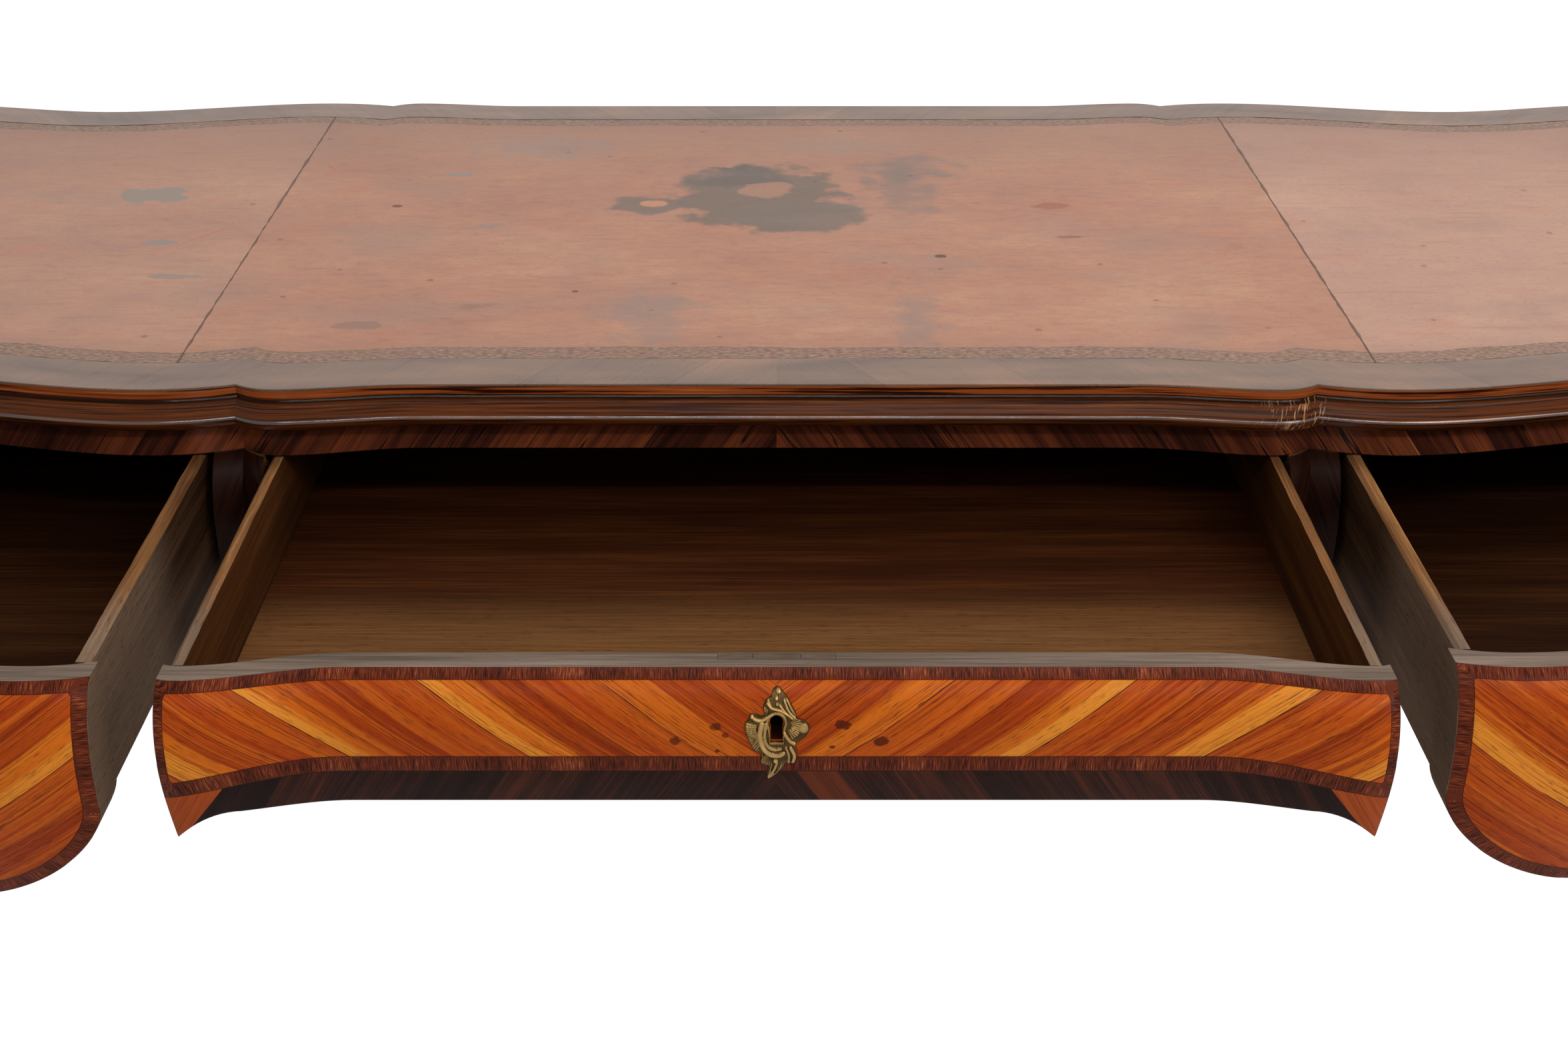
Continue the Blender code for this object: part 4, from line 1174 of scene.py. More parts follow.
@dataclass(frozen=True)
class Frieze:
    """Front rail, dividers, shaped back and ends, and the carcass behind them."""

    plan: Plan
    rail_height: float = 0.024
    rail_back: float = 0.320
    run: float = 0.7767
    divider_x: float = 0.40175
    divider_width: float = 0.0385
    divider_drop: float = 0.1075
    divider_back: float = 0.3453
    divider_belly: float = 0.150
    apron_in: float = 0.3303
    end_face: float = 0.838
    end_run: float = 0.2917
    end_drop: float = 0.150
    end_belly: float = 0.165
    end_arch: float = 0.032
    board: float = 0.020

    def build(self, drawers: Sequence["Drawer"], oak: bpy.types.Material) -> None:
        """Build and dress the frieze.

        Args:
            drawers: The drawers, which say where the rail is mortised.
            oak: Oak of the carcass.
        """
        kingwood = KingwoodLeaves("kingwood_rail", 1.0).make()
        self.rail(drawers, kingwood, oak)
        # The dividers are painted almost black (shade 0.92) as the shade they stand in.
        stile = KingwoodLeaves("kingwood_dividers", 4.0, 60.0, 70.0, 0.92, 0.04).make()
        ends = TulipwoodMarquetry("tulipwood_ends", 8.0).make()
        back = TulipwoodMarquetry("tulipwood_back", 13.0).make()
        for side in Side:
            self.divider(side, stile, oak)
            self.end(side, ends, oak)
        for drawer in drawers:
            self.apron(drawer, back, oak)
        runners = OldOak("bearer_oak", "#38261A", "#5C4230", "#7C5E44", along=1).make()
        for kind in ("bearer_inner", "bearer_outer", "partition"):
            dress([f"{kind}_{side.name.lower()}" for side in Side], runners)
        dress(["back_rail"], oak)

    def rail(self, drawers: Sequence["Drawer"], look: bpy.types.Material, oak: bpy.types.Material) -> None:
        """Veneered rail over the drawers, mortised for their bolts."""
        plan = self.plan
        columns = plan.columns(-self.run, self.run)
        rows = [0.0, 0.02, 0.25, 0.5, 0.75, 0.98, 1.0]

        def lie(x: float, share: float) -> tuple[float, float, float]:
            """Point of the rail's face."""
            worn = 0.0004 if share in (0.0, 1.0) else 0.0
            y = plan.front(x, framed=True) + worn + plan.shift
            return x, y, plan.case_top - self.rail_height * share

        bm, spots = grid(columns, rows, lie)
        paint(bm, "face", {vert: (x, self.rail_height * share) for vert, (x, share) in spots.items()})
        thicken(bm, lambda co: (co.x, plan.shift - self.rail_back, co.z), 1, 1)
        rail = piece("front_rail_veneered", bm, [look, oak], "case", "front_rail")
        carve(rail, [drawer.mortise() for drawer in drawers])

    def divider(self, side: Side, look: bpy.types.Material, oak: bpy.types.Material) -> None:
        """Veneered stile between two drawers, creased at the notch of the plan."""
        plan = self.plan
        middle = side.value * self.divider_x
        half = self.divider_width / 2
        columns = plan.columns(middle - half, middle + half, 0.0011)
        rows = span(0.0, 1.0, 0.025)
        rise = GAP * 4

        def lie(x: float, share: float) -> tuple[float, float, float]:
            """Point of the divider's face."""
            drop = self.divider_drop * share
            y = plan.front(x, drop, self.divider_belly) + plan.shift
            return x, y, plan.drawer_top - drop + (rise if share == 0 else 0)

        bm, spots = grid(columns, rows, lie)
        crease = side.value * plan.cusp
        drop = self.divider_drop
        paint(bm, "face", {vert: (x - crease, drop * share) for vert, (x, share) in spots.items()})
        thicken(bm, lambda co: (co.x, plan.shift - self.divider_back, co.z), 1, 1)
        node = f"divider_{side.name.lower()}"
        piece(f"{node}_veneered", bm, [look, oak], "case", node)

    def apron(self, drawer: "Drawer", look: bpy.types.Material, oak: bpy.types.Material) -> None:
        """Board of the back that repeats a drawer's front up to the top."""
        plan = self.plan
        label = drawer.label
        if label == "centre":
            start, end = -plan.cusp + GAP, plan.cusp - GAP
        elif label == "right":
            start, end = plan.cusp, self.run
        else:
            start, end = -self.run, -plan.cusp
        columns = drawer.crowd(start, end)
        rows = [0.0, 0.001, *span(0.03, 1.0, 0.03)]
        raised = plan.case_top - plan.drawer_top

        def lie(x: float, share: float) -> tuple[float, float, float]:
            """Point of the apron's face."""
            drop = drawer.back_foot(x) * share
            y = -plan.front(x, drop, drawer.belly, framed=True) + plan.shift
            return x, y, plan.drawer_top - drop + (raised if share == 0 else 0)

        bm, spots = grid(columns, rows, lie)
        flat = {vert: (vert.co.x, plan.case_top - vert.co.z) for vert in spots}
        panel_maps(
            bm, flat, (start + end) / 2, lambda x: drawer.back_foot(x) + raised,
            lambda drops: plan.girth(drops, drawer.belly, raised),
        )
        thicken(bm, lambda co: (co.x, plan.shift + self.apron_in, co.z), 1, 1)
        node = f"back_apron_{label}"
        piece(f"{node}_veneered", bm, [look, oak], "case", node)

    def end(self, side: Side, look: bpy.types.Material, oak: bpy.types.Material) -> None:
        """Shaped board between the two legs of one end."""
        plan = self.plan
        columns = span(-self.end_run, self.end_run, plan.step)
        rows = span(0.0, 1.0, 0.03)

        def foot(y: float) -> float:
            """Lower edge at a place along the end."""
            return self.end_drop - self.end_arch * (1 - (y / self.end_run) ** 2)

        def lie(y: float, share: float) -> tuple[float, float, float]:
            """Point of the end's face."""
            drop = foot(y) * share
            x = self.end_face + plan.belly(drop - self.rail_height, self.end_belly)
            return side.value * x, y + plan.shift, plan.case_top - drop

        bm, spots = grid(columns, rows, lie)
        flat = {vert: (y, foot(y) * share) for vert, (y, share) in spots.items()}
        panel_maps(
            bm, flat, 0.0, foot, lambda drops: plan.girth(drops, self.end_belly, self.rail_height)
        )
        thicken(bm, lambda co: (side.value * (self.end_face - self.board), co.y, co.z), 1, 1)
        node = f"side_frieze_{side.name.lower()}"
        piece(f"{node}_veneered", bm, [look, oak], "case", node)


@dataclass(frozen=True)
class Legs:
    """Four cabriole legs in brass shoes."""

    plan: Plan
    corner: Spot = (0.845, 0.360)
    stile: float = 0.068
    rounding: float = 0.18
    knee: tuple = (
        (0, 0, 0), (0.026, 0, 0), (0.060, 0.018, 0.018), (0.092, 0.022, 0.022), (0.140, 0.014, 0.014),
    )
    shank: tuple = ((0.12, 0.004, 0.065), (0.25, -0.006, 0.052), (0.45, -0.016, 0.042), (0.70, -0.020, 0.035))
    ankle: tuple = (0.110, -0.014, 0.030)
    tip: tuple = (0.052, -0.006, 0.032)
    floor: float = 0.008
    wall: float = 0.0025
    toe: float = 0.011

    def build(self) -> None:
        """Build and dress the legs and their shoes."""
        veneer = KingwoodLeaves("kingwood_legs", 9.0, 55.0, 62.0).make()
        brass = CastBrass("brass_shoes").make()
        for side in Side:
            for depth, word in ((-1, "front"), (1, "back")):
                label = f"{word}_{side.name.lower()}"
                bm = self.tube(self.profile(), side, depth)
                piece(f"leg_{label}_veneered", bm, [veneer], "case", f"leg_{label}")
                bm = self.tube(self.shoe(), side, depth, "relief")
                piece(f"sabot_{label}_chased", bm, [brass], "case", f"sabot_{label}")

    def profile(self) -> list[tuple[float, float, float, float]]:
        """z, reach of the outer faces, width and growth of a leg's rings, top to bottom."""
        top = self.plan.case_top
        knee = [(top - drop, out, self.stile + extra) for drop, out, extra in self.knee]
        length = knee[-1][0] - self.ankle[0]
        shank = [(knee[-1][0] - length * share, out, width) for share, out, width in self.shank]
        path = smooth_path([*knee, *shank, self.ankle, self.tip], 8)
        rings = [(z, out, min(width, self.stile + out), 0.0) for z, out, width in path]
        return [*rings, (self.floor + GAP, self.tip[1], self.tip[2], 0.0)]

    def shoe(self) -> list[tuple[float, float, float, float]]:
        """Rings of a shoe: flared toe, two cast beads and the hollow that the leg stands in."""
        high, out, width = self.tip
        high -= GAP
        rings = []
        for i in range(25):
            share = i / 24
            spread = self.toe * (1 - share) ** 2
            ring = max(0.0, math.sin(math.pi * (share - 0.80) / 0.12)) if 0.80 < share < 0.92 else 0.0
            sole = 0.0006 if i in (0, 24) else 0.0
            rings.append((high * share, out + spread, width + spread, self.wall + 0.0012 * ring - sole))
        return [*rings, (high, out, width, GAP), (self.floor, out, width, GAP)]

    def tube(self, rings: Sequence[tuple], side: Side, depth: int, maps: str = "face") -> bmesh.types.BMesh:
        """Rounded square tube through rings.

        Args:
            rings: z, reach, width and growth of each ring.
            side: The end that the leg stands at.
            depth: -1 for a front leg, 1 for a back one.
            maps: Name of the UV map: distance round from the outer corner, and distance down.

        Returns:
            The capped tube.
        """
        turns = 6
        flats = 4
        around = []
        for corner in (2, 3, 0, 1, 2):
            for turn in range(turns + 1):
                around.append((corner, turn / turns, 0.0))
            around += [(corner, 1.0, flat / flats) for flat in range(1, flats)]
        half = turns // 2
        around = around[half:len(around) - flats + 1 - half]

        def lie(column: int, row: int) -> tuple[float, float, float]:
            """Point of a ring."""
            corner, turn, flat = around[column]
            z, out, width, grow = rings[row]
            wide = width + 2 * grow
            spots = []
            ends = (corner, math.pi / 2 * (corner + turn)), ((corner + 1) % 4, math.pi / 2 * (corner + 1))
            for which, angle in ends:
                radius = wide * self.rounding
                x = self.corner[0] + out + grow - (radius if which in (0, 3) else wide - radius)
                y = self.corner[1] + out + grow - (radius if which in (0, 1) else wide - radius)
                spots.append(Vector((x + radius * math.cos(angle), y + radius * math.sin(angle), z)))
            x, y, z = spots[0].lerp(spots[1], flat)
            return side.value * x, depth * y + self.plan.shift, z

        columns = range(len(around))
        bm, spots = grid(columns, range(len(rings)), lie)
        middle = len(around) // 2
        path = {}
        for vert, (column, row) in spots.items():
            path[column, row] = vert.co.copy()
        girth = {}
        for row in range(len(rings)):
            for way in (1, -1):
                length = 0.0
                girth[middle, row] = 0.0
                column = middle
                while 0 <= column + way < len(around):
                    length += (path[column + way, row] - path[column, row]).length
                    column += way
                    girth[column, row] = way * length
        if maps == "relief":
            paint(bm, maps, {vert: (0.0, rings[int(r)][3] * 0.6) for vert, (_, r) in spots.items()})
        else:
            top = self.plan.case_top
            paint(bm, maps, {vert: (girth[spot], top - vert.co.z) for vert, spot in spots.items()})
        return close(bm)


@dataclass(frozen=True)
class Drawer:
    """A drawer: veneered bombe front, oak box, lock and keyhole plate."""

    plan: Plan
    label: str
    start: float
    end: float
    lock: float               # x of the keyhole
    belly: float              # height over which the front swells
    seed: float
    thick: float = 0.0175
    lock_width: float = 0.0735
    lock_height: float = 0.0445
    lock_thick: float = 0.009
    bolt: tuple[float, float, float] = (0.030, 0.0044, 0.008)   # width, thickness and travel
    play: float = 0.003
    key_drop: float = 0.0275
    key_radius: float = 0.0042
    key_slot: float = 0.0036
    key_length: float = 0.0115
    bands: Bands = Bands(0.0095, 0.0100, 0.0095)
    knots: tuple[Stain, ...] = ()
    rows: int = 40

    @property
    def shift(self) -> float:
        """y of the table's middle as seen by the drawer, drawn out as in the frame."""
        name = f"{self.label}_drawer_slide"
        joint = next(joint for joint in frame["joints"] if joint["name"] == name)
        return self.plan.shift + joint["range_m"][0]

    def foot(self, x: float) -> float:
        """Drop of the front's lower edge."""
        raise NotImplementedError

    def low(self, x: float) -> float:
        """Drop of the lower edge of the crossband."""
        return self.foot(x)

    def back_foot(self, x: float) -> float:
        """Drop of the matching board at the back of the table."""
        return self.foot(x)

    def crowd(self, start: float, end: float) -> list[float]:
        """Stations across a board of this drawer's outline."""
        return self.plan.columns(start, end, 0.004)

    def lock_frame(self, shift: float) -> Matrix:
        """Frame of the lock: on the top edge of the front's inner face, +Y into the drawer."""
        plan = self.plan
        half = self.lock_width / 2
        slope = (plan.front(self.lock + half) - plan.front(self.lock - half)) / self.lock_width
        turn = Matrix.Rotation(math.atan(slope), 4, "Z")
        back = plan.front(self.lock) + self.thick + shift
        return Matrix.Translation((self.lock, back, plan.drawer_top)) @ turn

    def mortise(self) -> bmesh.types.BMesh:
        """Hole in the rail that the bolt shoots into."""
        width, thick, travel = self.bolt
        wide = width / 2 + self.play
        deep = thick / 2 + self.play
        middle = -self.lock_thick / 2
        bm = plank((-wide, middle - deep, -self.thick), (wide, middle + deep, travel + self.play))
        bmesh.ops.transform(bm, matrix=self.lock_frame(self.plan.shift), verts=bm.verts)
        return bm

    def holes(self) -> list[bmesh.types.BMesh]:
        """What is cut from the front: the lock's pocket, and the key way straight behind the plate's hole."""
        half = self.lock_width / 2 + GAP
        over = self.thick
        pocket = plank((-half, -self.lock_thick - GAP, -self.lock_height - GAP), (half, over, over))
        reach = 3 * self.thick + self.lock_thick
        slot = plank(
            (-self.key_slot, -reach, -self.key_drop - self.key_length),
            (self.key_slot, -self.lock_thick / 2, -self.key_drop),
        )
        barrel = bmesh.new()
        bmesh.ops.create_cone(
            barrel, cap_ends=True, segments=32, radius1=self.key_radius, radius2=self.key_radius, depth=reach
        )
        bmesh.ops.rotate(barrel, verts=barrel.verts, matrix=Matrix.Rotation(math.pi / 2, 3, "X"))
        bmesh.ops.translate(
            barrel, verts=barrel.verts, vec=(0, -self.lock_thick / 2 - reach / 2, -self.key_drop)
        )
        seat = self.lock_frame(self.shift)
        bmesh.ops.transform(pocket, matrix=seat, verts=pocket.verts)
        for bm in (slot, barrel):
            bmesh.ops.translate(bm, verts=bm.verts, vec=seat.translation)
        return [pocket, slot, barrel]

    def build(self, woods: "DrawerWoods") -> None:
        """Build and dress the drawer."""
        self.face(woods)
        for name in ("left", "right"):
            self.side(name, woods)
        self.back(woods)
        dress([f"{self.label}_drawer_bottom"], self.bottom(woods))
        dress([f"lock_case_{self.label}", f"lock_bolt_{self.label}"], woods.iron)
        KeyPlate(self).build(woods.brass)

    def bottom(self, woods: "DrawerWoods") -> bpy.types.Material:
        """Finish of the bottom board."""
        return woods.floor

    def face(self, woods: "DrawerWoods") -> None:
        """Bombe front with its marquetry, bare edges and the cuts for the lock."""
        plan = self.plan
        columns = self.crowd(self.start, self.end)
        shift = self.shift
        node = f"{self.label}_drawer_front"
        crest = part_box(node)[0].y

        def lie(x: float, share: float) -> tuple[float, float, float]:
            """Point of the front's face, no further out than the frame's own front."""
            drop = self.foot(x) * share
            return x, max(plan.front(x, drop, self.belly) + shift, crest), plan.drawer_top - drop

        bm, spots = grid(columns, span(0.0, 1.0, 1 / self.rows), lie)
        flat = {vert: (x, self.foot(x) * share) for vert, (x, share) in spots.items()}
        panel_maps(
            bm, flat, self.lock, self.low, lambda drops: plan.girth(drops, self.belly), self.bands
        )
        thicken(bm, lambda co: (co.x, plan.front(co.x) + self.thick + shift, co.z), 1, 2)
        arris = [edge for edge in bm.edges if {face.material_index for face in edge.link_faces} == {0, 1}]
        soften(bm, arris, 0.0006)
        bm.normal_update()
        for face in bm.faces:
            if face.material_index == 1 and abs(face.normal.x) > 0.7:
                face.material_index = 3
        veneer = TulipwoodMarquetry(f"tulipwood_{self.label}", self.seed, knots=self.knots).make()
        looks = [veneer, woods.edge, woods.inner_x, woods.outer]
        front = piece(f"{node}_veneered", bm, looks, f"{self.label}_drawer", node)
        carve(front, self.holes())

    def side(self, name: str, woods: "DrawerWoods") -> None:
        """Side of the box: chamfered outside along its top, worn on its edge."""
        node = f"{self.label}_drawer_side_{name}"
        low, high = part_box(node)
        out = -1 if name == "left" else 1
        bm = plank(low, high)
        rim = high.x if out > 0 else low.x
        top = [e for e in bm.edges if all(v.co.z > high.z - GAP and abs(v.co.x - rim) < GAP for v in e.verts)]
        soften(bm, top, 0.0030, 1)
        soften(bm, list(bm.edges), 0.0006)
        self.wear(bm, 1, high.z)
        for face in bm.faces:
            if face.normal.z > 0.5:
                face.material_index = 0
            else:
                face.material_index = 1 if face.normal.x * out > 0.5 else 2
        looks = [woods.rim_y, woods.outer, woods.inner_y]
        piece(f"{node}_planed", bm, looks, f"{self.label}_drawer", node)

    def back(self, woods: "DrawerWoods") -> None:
        """Back of the box, set down a little."""
        node = f"{self.label}_drawer_back"
        low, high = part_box(node)
        bm = plank(low, high)
        soften(bm, list(bm.edges), 0.0008)
        self.wear(bm, 0, high.z)
        for face in bm.faces:
            face.material_index = 0 if face.normal.z > 0.5 else 1
        piece(f"{node}_planed", bm, [woods.rim_x, woods.inner_x], f"{self.label}_drawer", node)

    def wear(self, bm: bmesh.types.BMesh, axis: int, top: float) -> None:
        """Divide a board along its length and wear its top edge down unevenly."""
        long = [edge for edge in bm.edges if abs(edge.verts[0].co[axis] - edge.verts[1].co[axis]) > 0.1]
        bmesh.ops.subdivide_edges(bm, edges=long, cuts=60, use_grid_fill=True)
        bm.normal_update()
        for vert in bm.verts:
            depth = top - vert.co.z
            if depth < 0.004:
                rub = noise.noise(vert.co * 38.0 + Vector((self.seed, 0, 0)))
                vert.co.z -= 0.0006 * (0.5 + rub) * (1 - depth / 0.004)
                vert.co[1 - axis] += 0.0003 * noise.noise(vert.co * 60.0)


@dataclass(frozen=True)
class DrawerWoods:
    """Finishes that the drawers share."""

    rim_x: bpy.types.Material
    rim_y: bpy.types.Material
    inner_x: bpy.types.Material
    inner_y: bpy.types.Material
    outer: bpy.types.Material
    edge: bpy.types.Material
    floor: bpy.types.Material
    iron: bpy.types.Material
    brass: bpy.types.Material

    @classmethod
    def make(cls) -> "DrawerWoods":
        """Make each of them once."""
        rim = ("#4E311C", "#7C5432", "#AA7E52")
        inner = ("#301A0C", "#442611", "#5E391D")
        grey = ("#4E3E33", "#8E7866")
        return cls(
            OldOak("worn_rim_x", *rim, along=0).make(),
            OldOak("worn_rim_y", *rim, along=1, front=-0.45, worn=grey).make(),
            OldOak("inner_oak_x", *inner, along=0).make(),
            OldOak("inner_oak_y", *inner, along=1).make(),
            OldOak(
                "outer_oak", "#1E1009", "#3E2919", "#5C4432",
                along=1, roughness=0.75, coarse=1.6, front=-0.36,
                worn=("#4A382B", "#8A705C"),
            ).make(),
            OldOak("bare_edge", "#4A3D34", "#6F5F53", "#907D70", along=0, coarse=0.8).make(),
            # Side drawers' floors: dark-stained oak, painted still darker, near black, as the shade inside
            # the drawers.
            OldOak("floor_oak", "#1A0B04", "#281307", "#3C220E", along=0, roughness=0.6).make(),
            LockIron().make(),
            CastBrass().make(),
        )


@dataclass(frozen=True)
class CentreDrawer(Drawer):
    """The shallow middle drawer, with a spur at each end of its lower edge."""

    label: str = "centre"
    start: float = -0.381
    end: float = 0.381
    lock: float = 0.0
    belly: float = 0.120
    seed: float = 2.0
    bands: Bands = Bands(0.0095, 0.0122, 0.0062)
    drop: float = 0.0915
    spur: float = 0.0245
    spur_run: float = 0.040
    panel: float = 0.0640     # drop of the lower crossband's lower edge
    panel_fall: float = 0.0117
    panel_run: float = 0.101  # how far in from the ends it begins to fall
    board_joint: float = -0.3416   # y of the joint before the bottom's front board
    knots: tuple[Stain, ...] = (
        Stain(-0.0377, 0.0393, 0.0038, 0.0030, 0.80, "#4E1B0D"),
        Stain(-0.0319, 0.0448, 0.0026, 0.0018, 0.75, "#4E1B0D"),
        Stain(0.0410, 0.0378, 0.0050, 0.0030, 0.85, "#46170B"),
        Stain(0.0649, 0.0491, 0.0046, 0.0034, 0.85, "#46170B"),
        Stain(0.0344, 0.0533, 0.0018, 0.0015, 0.85, "#4E1B0D"),
        Stain(-0.0630, 0.0487, 0.0036, 0.0030, 0.80, "#4E1B0D"),
        Stain(-0.0370, 0.0562, 0.0016, 0.0013, 0.85, "#46170B"),
    )

    def foot(self, x: float) -> float:
        """Straight, with spurs."""
        return self.drop + self.spur * (max(abs(x) - self.end + self.spur_run, 0.0) / self.spur_run) ** 2

    def low(self, x: float) -> float:
        """Straight over the middle, falling a little towards the ends."""
        run = max(abs(x) - self.end + self.panel_run, 0.0)
        return self.panel + self.panel_fall * (run / self.panel_run) ** 2

    def back_foot(self, x: float) -> float:
        """Straight."""
        return self.drop

    def bottom(self, woods: "DrawerWoods") -> bpy.types.Material:
        """Dark boards with a paler one along the front."""
        board = frame["nodes"]["centre_drawer_bottom"]
        front = (board.matrix_world.inverted() @ Vector((0, self.board_joint, 0))).y
        return OldOak("centre_floor_oak", "#240F05", "#36190A", "#4E2A12", roughness=0.6, front=front).make()


@dataclass(frozen=True)
class SideDrawer(Drawer):
    """A deep side drawer: straight inner edge, lobe, arch, and return to the leg."""

    inner: float = 0.4225
    outer: float = 0.7755
    drop: float = 0.086
    lobe: float = 0.078
    lobe_reach: float = 0.105
    power: float = 1.6
    arch: float = 0.030
    arch_reach: float = 0.160
    back_up: float = 0.022

    def foot(self, x: float) -> float:
        """Lower edge from the inner end to the leg."""
        along = abs(x) - self.inner
        if along < self.lobe_reach:
            share = min(max(1 - along / self.lobe_reach, 0.0), 1.0)
            return self.drop + self.lobe * (1 - share ** self.power) ** (1 / self.power)
        crown = along - self.lobe_reach
        left = self.outer - self.inner - self.lobe_reach - self.arch_reach
        reach = self.arch_reach
        rise = self.back_up * ease((crown - reach) / left) - self.arch * ease(crown / reach)
        return self.drop + self.lobe + rise

    def crowd(self, start: float, end: float) -> list[float]:
        """Stations crowded where the lobe leaves the inner edge."""
        sign = math.copysign(1.0, self.lock)
        steep = [sign * (self.inner + self.lobe_reach * (k / 14) ** 2.4) for k in range(14)]
        return span(start, end, 0.004, steep)


@dataclass(frozen=True)
class KeyPlate:
    """Rocaille keyhole plate. All its sizes are millimetres about the keyhole's round centre."""

    drawer: Drawer
    outline: tuple[Spot, ...] = (
        (1.3, 20), (4.2, 17.5), (7.2, 14.2), (9.4, 10.4), (12, 5.8), (12.9, 2.7), (16.9, 1.5), (20.4, -2.9),
        (18.6, -8.1), (14.3, -12.5), (12.1, -14), (12.5, -19.2), (12.9, -23.8), (11.2, -28.5), (8.6, -29.4),
        (5.5, -29.1), (4.2, -32.6), (0.7, -37.2), (-2, -40.7),
        (-5, -42.4), (-6, -39), (-5, -32), (-7.2, -31.1),
        (-10.1, -29.1), (-9.4, -24.4), (-10.7, -20.9), (-13.8, -19.8), (-16.4, -14), (-19.1, -6.4),
        (-19.5, -0.6), (-17.3, 1.9), (-16.4, 5), (-13.8, 5.4),
        (-11, 4.6), (-8.6, 4.3), (-7.2, 5), (-8.1, 8.1),
        (-8.1, 10.4), (-6.1, 13.8), (-3.3, 15.4), (-2.9, 17.3), (-1.1, 19.6),
    )
    strokes: tuple = (
        (2.0, 1.0, (6.5, 13.8), (9.6, 8.0), (13.0, 3.5)), (1.8, 1.1, (4.7, 13.5), (7.4, 7.3), (11.4, 3.0)),
        (1.8, 1.0, (2.0, 10.4), (5.2, 6.5), (9.6, 2.7)),
        (1.8, 1.2, (-5.6, 11.5), (-2.9, 8.8), (2.5, 7.3), (7.4, 4.6)),
        (1.8, 1.0, (-5.6, 13.8), (-3.8, 10.0)),
        (2.4, 1.3, (-15.5, 4.2), (-12.8, 1.9), (-9.2, 1.5), (-5.6, 3.5), (-2.9, 5.0)),
        (3.6, 1.4, (-9.2, -0.6), (-10.3, -8.1), (-8.3, -16.9), (-4.3, -22.1), (0.7, -23.3), (3.8, -21.5)),
        (2.4, 1.1, (-6.5, -0.6), (-7.4, -9.3), (-5.6, -15.7), (-2.0, -18.6), (2.5, -18.0)),
        (2.6, 1.3, (4.7, -6.4), (8.3, -12.2), (12.0, -14.5)),
        (2.6, 1.3, (8.7, -16.9), (11.0, -22.7), (10.2, -28.0)),
        (2.0, 1.0, (5.8, -17.0), (7.6, -22.7), (7.4, -28.3)),
        (2.0, 1.2, (0.2, -29.0), (-2.0, -35.5), (-5.0, -41.0)),
        (1.2, 0.9, (3.0, -30.0), (0.6, -35.5), (-3.6, -40.6)),
        (1.2, 0.9, (-3.2, -29.5), (-4.0, -35.5), (-5.4, -40.5)),
    )
    fans: tuple = (                # centre, angles, radii, spacing in degrees, height
        ((-2.9, -4.0), (165, 240), (9.5, 18.0), 5.6, 1.0), ((6.0, -1.7), (-75, 45), (3.0, 9.5), 11.0, 0.9),
        ((-3.8, -22.7), (195, 280), (2.0, 8.0), 12.0, 0.8), ((-3.8, 7.3), (140, 225), (1.5, 5.0), 14.0, 0.8),
    )
    domes: tuple = (               # centre, radius, height
        ((1.3, 18.2), 1.8, 1.5), ((0.0, 14.3), 1.3, 1.6), ((-0.6, -27.2), 1.9, 1.7), ((0.4, 11.0), 1.2, 1.1),
        ((-15.3, 3.9), 1.5, 1.5), ((4.3, -20.9), 1.5, 1.5), ((16.6, -3.4), 3.4, 1.2),
    )
    base: float = 0.8
    rim: float = 1.1               # width of the raised rim round the keyhole
    room: float = 1.10             # keyhole of the plate over that of the wood
    rows: int = 34

    def hole(self, towards: Vector) -> float:
        """Radius of the keyhole in a direction."""
        radius = 1000 * self.room * self.drawer.key_radius
        way = towards.normalized()
        if way.y >= 0:
            return radius
        slot = 1000 * self.room * self.drawer.key_slot / max(abs(way.x), 1e-9)
        length = 1000 * self.room * self.drawer.key_length / max(abs(way.y), 1e-9)
        return max(radius, min(slot, length))

    def relief(self, points: np.ndarray, hole: np.ndarray) -> np.ndarray:
        """Height of the chasing over the plate's back.

        Args:
            points: Places on the plate.
            hole: Distance of each from the keyhole's edge.

        Returns:
            The height at each place.
        """
        height = np.zeros(len(points))
        for width, top, *path in self.strokes:
            line = np.array([tuple(point) for point in smooth_path(path, 8)])
            _, gap = nearest(points, line)
            height = np.maximum(height, top * np.sqrt(np.clip(1 - (2 * gap / width) ** 2, 0, 1)))
        for centre, angles, radii, spacing, top in self.fans:
            away = points - np.array(centre)
            radius = np.hypot(away[:, 0], away[:, 1])
            angle = np.degrees(np.arctan2(away[:, 1], away[:, 0]))
            angle = np.where(angle < angles[0], angle + 360, angle)
            inside = (angle < angles[1]) & (radius > radii[0]) & (radius < radii[1])
            ribs = np.abs(np.cos(np.pi * angle / spacing))
            height = np.maximum(height, np.where(inside, top * (0.25 + 0.75 * ribs), 0.0))
        for centre, radius, top in self.domes:
            gap = np.hypot(*(points - np.array(centre)).T)
            height = np.maximum(height, top * np.sqrt(np.clip(1 - (gap / radius) ** 2, 0, 1)))
        height = np.maximum(height, 0.8 * np.sqrt(np.clip(1 - (hole / self.rim - 1) ** 2, 0, 1)))
        return self.base + height

    def build(self, brass: bpy.types.Material) -> None:
        """Cast the plate to the swell of the front."""
        drawer = self.drawer
        plan = drawer.plan
        outer = smooth_path(self.outline, 10, closed=True)
        rows = [i / self.rows for i in range(self.rows + 1)]
        columns = range(len(outer))

        def flat(column: int, share: float) -> Vector:
            """Place on the plate at a column and a share from the keyhole to the outline."""
            way = outer[column]
            return (way.normalized() * self.hole(way)).lerp(way, share)

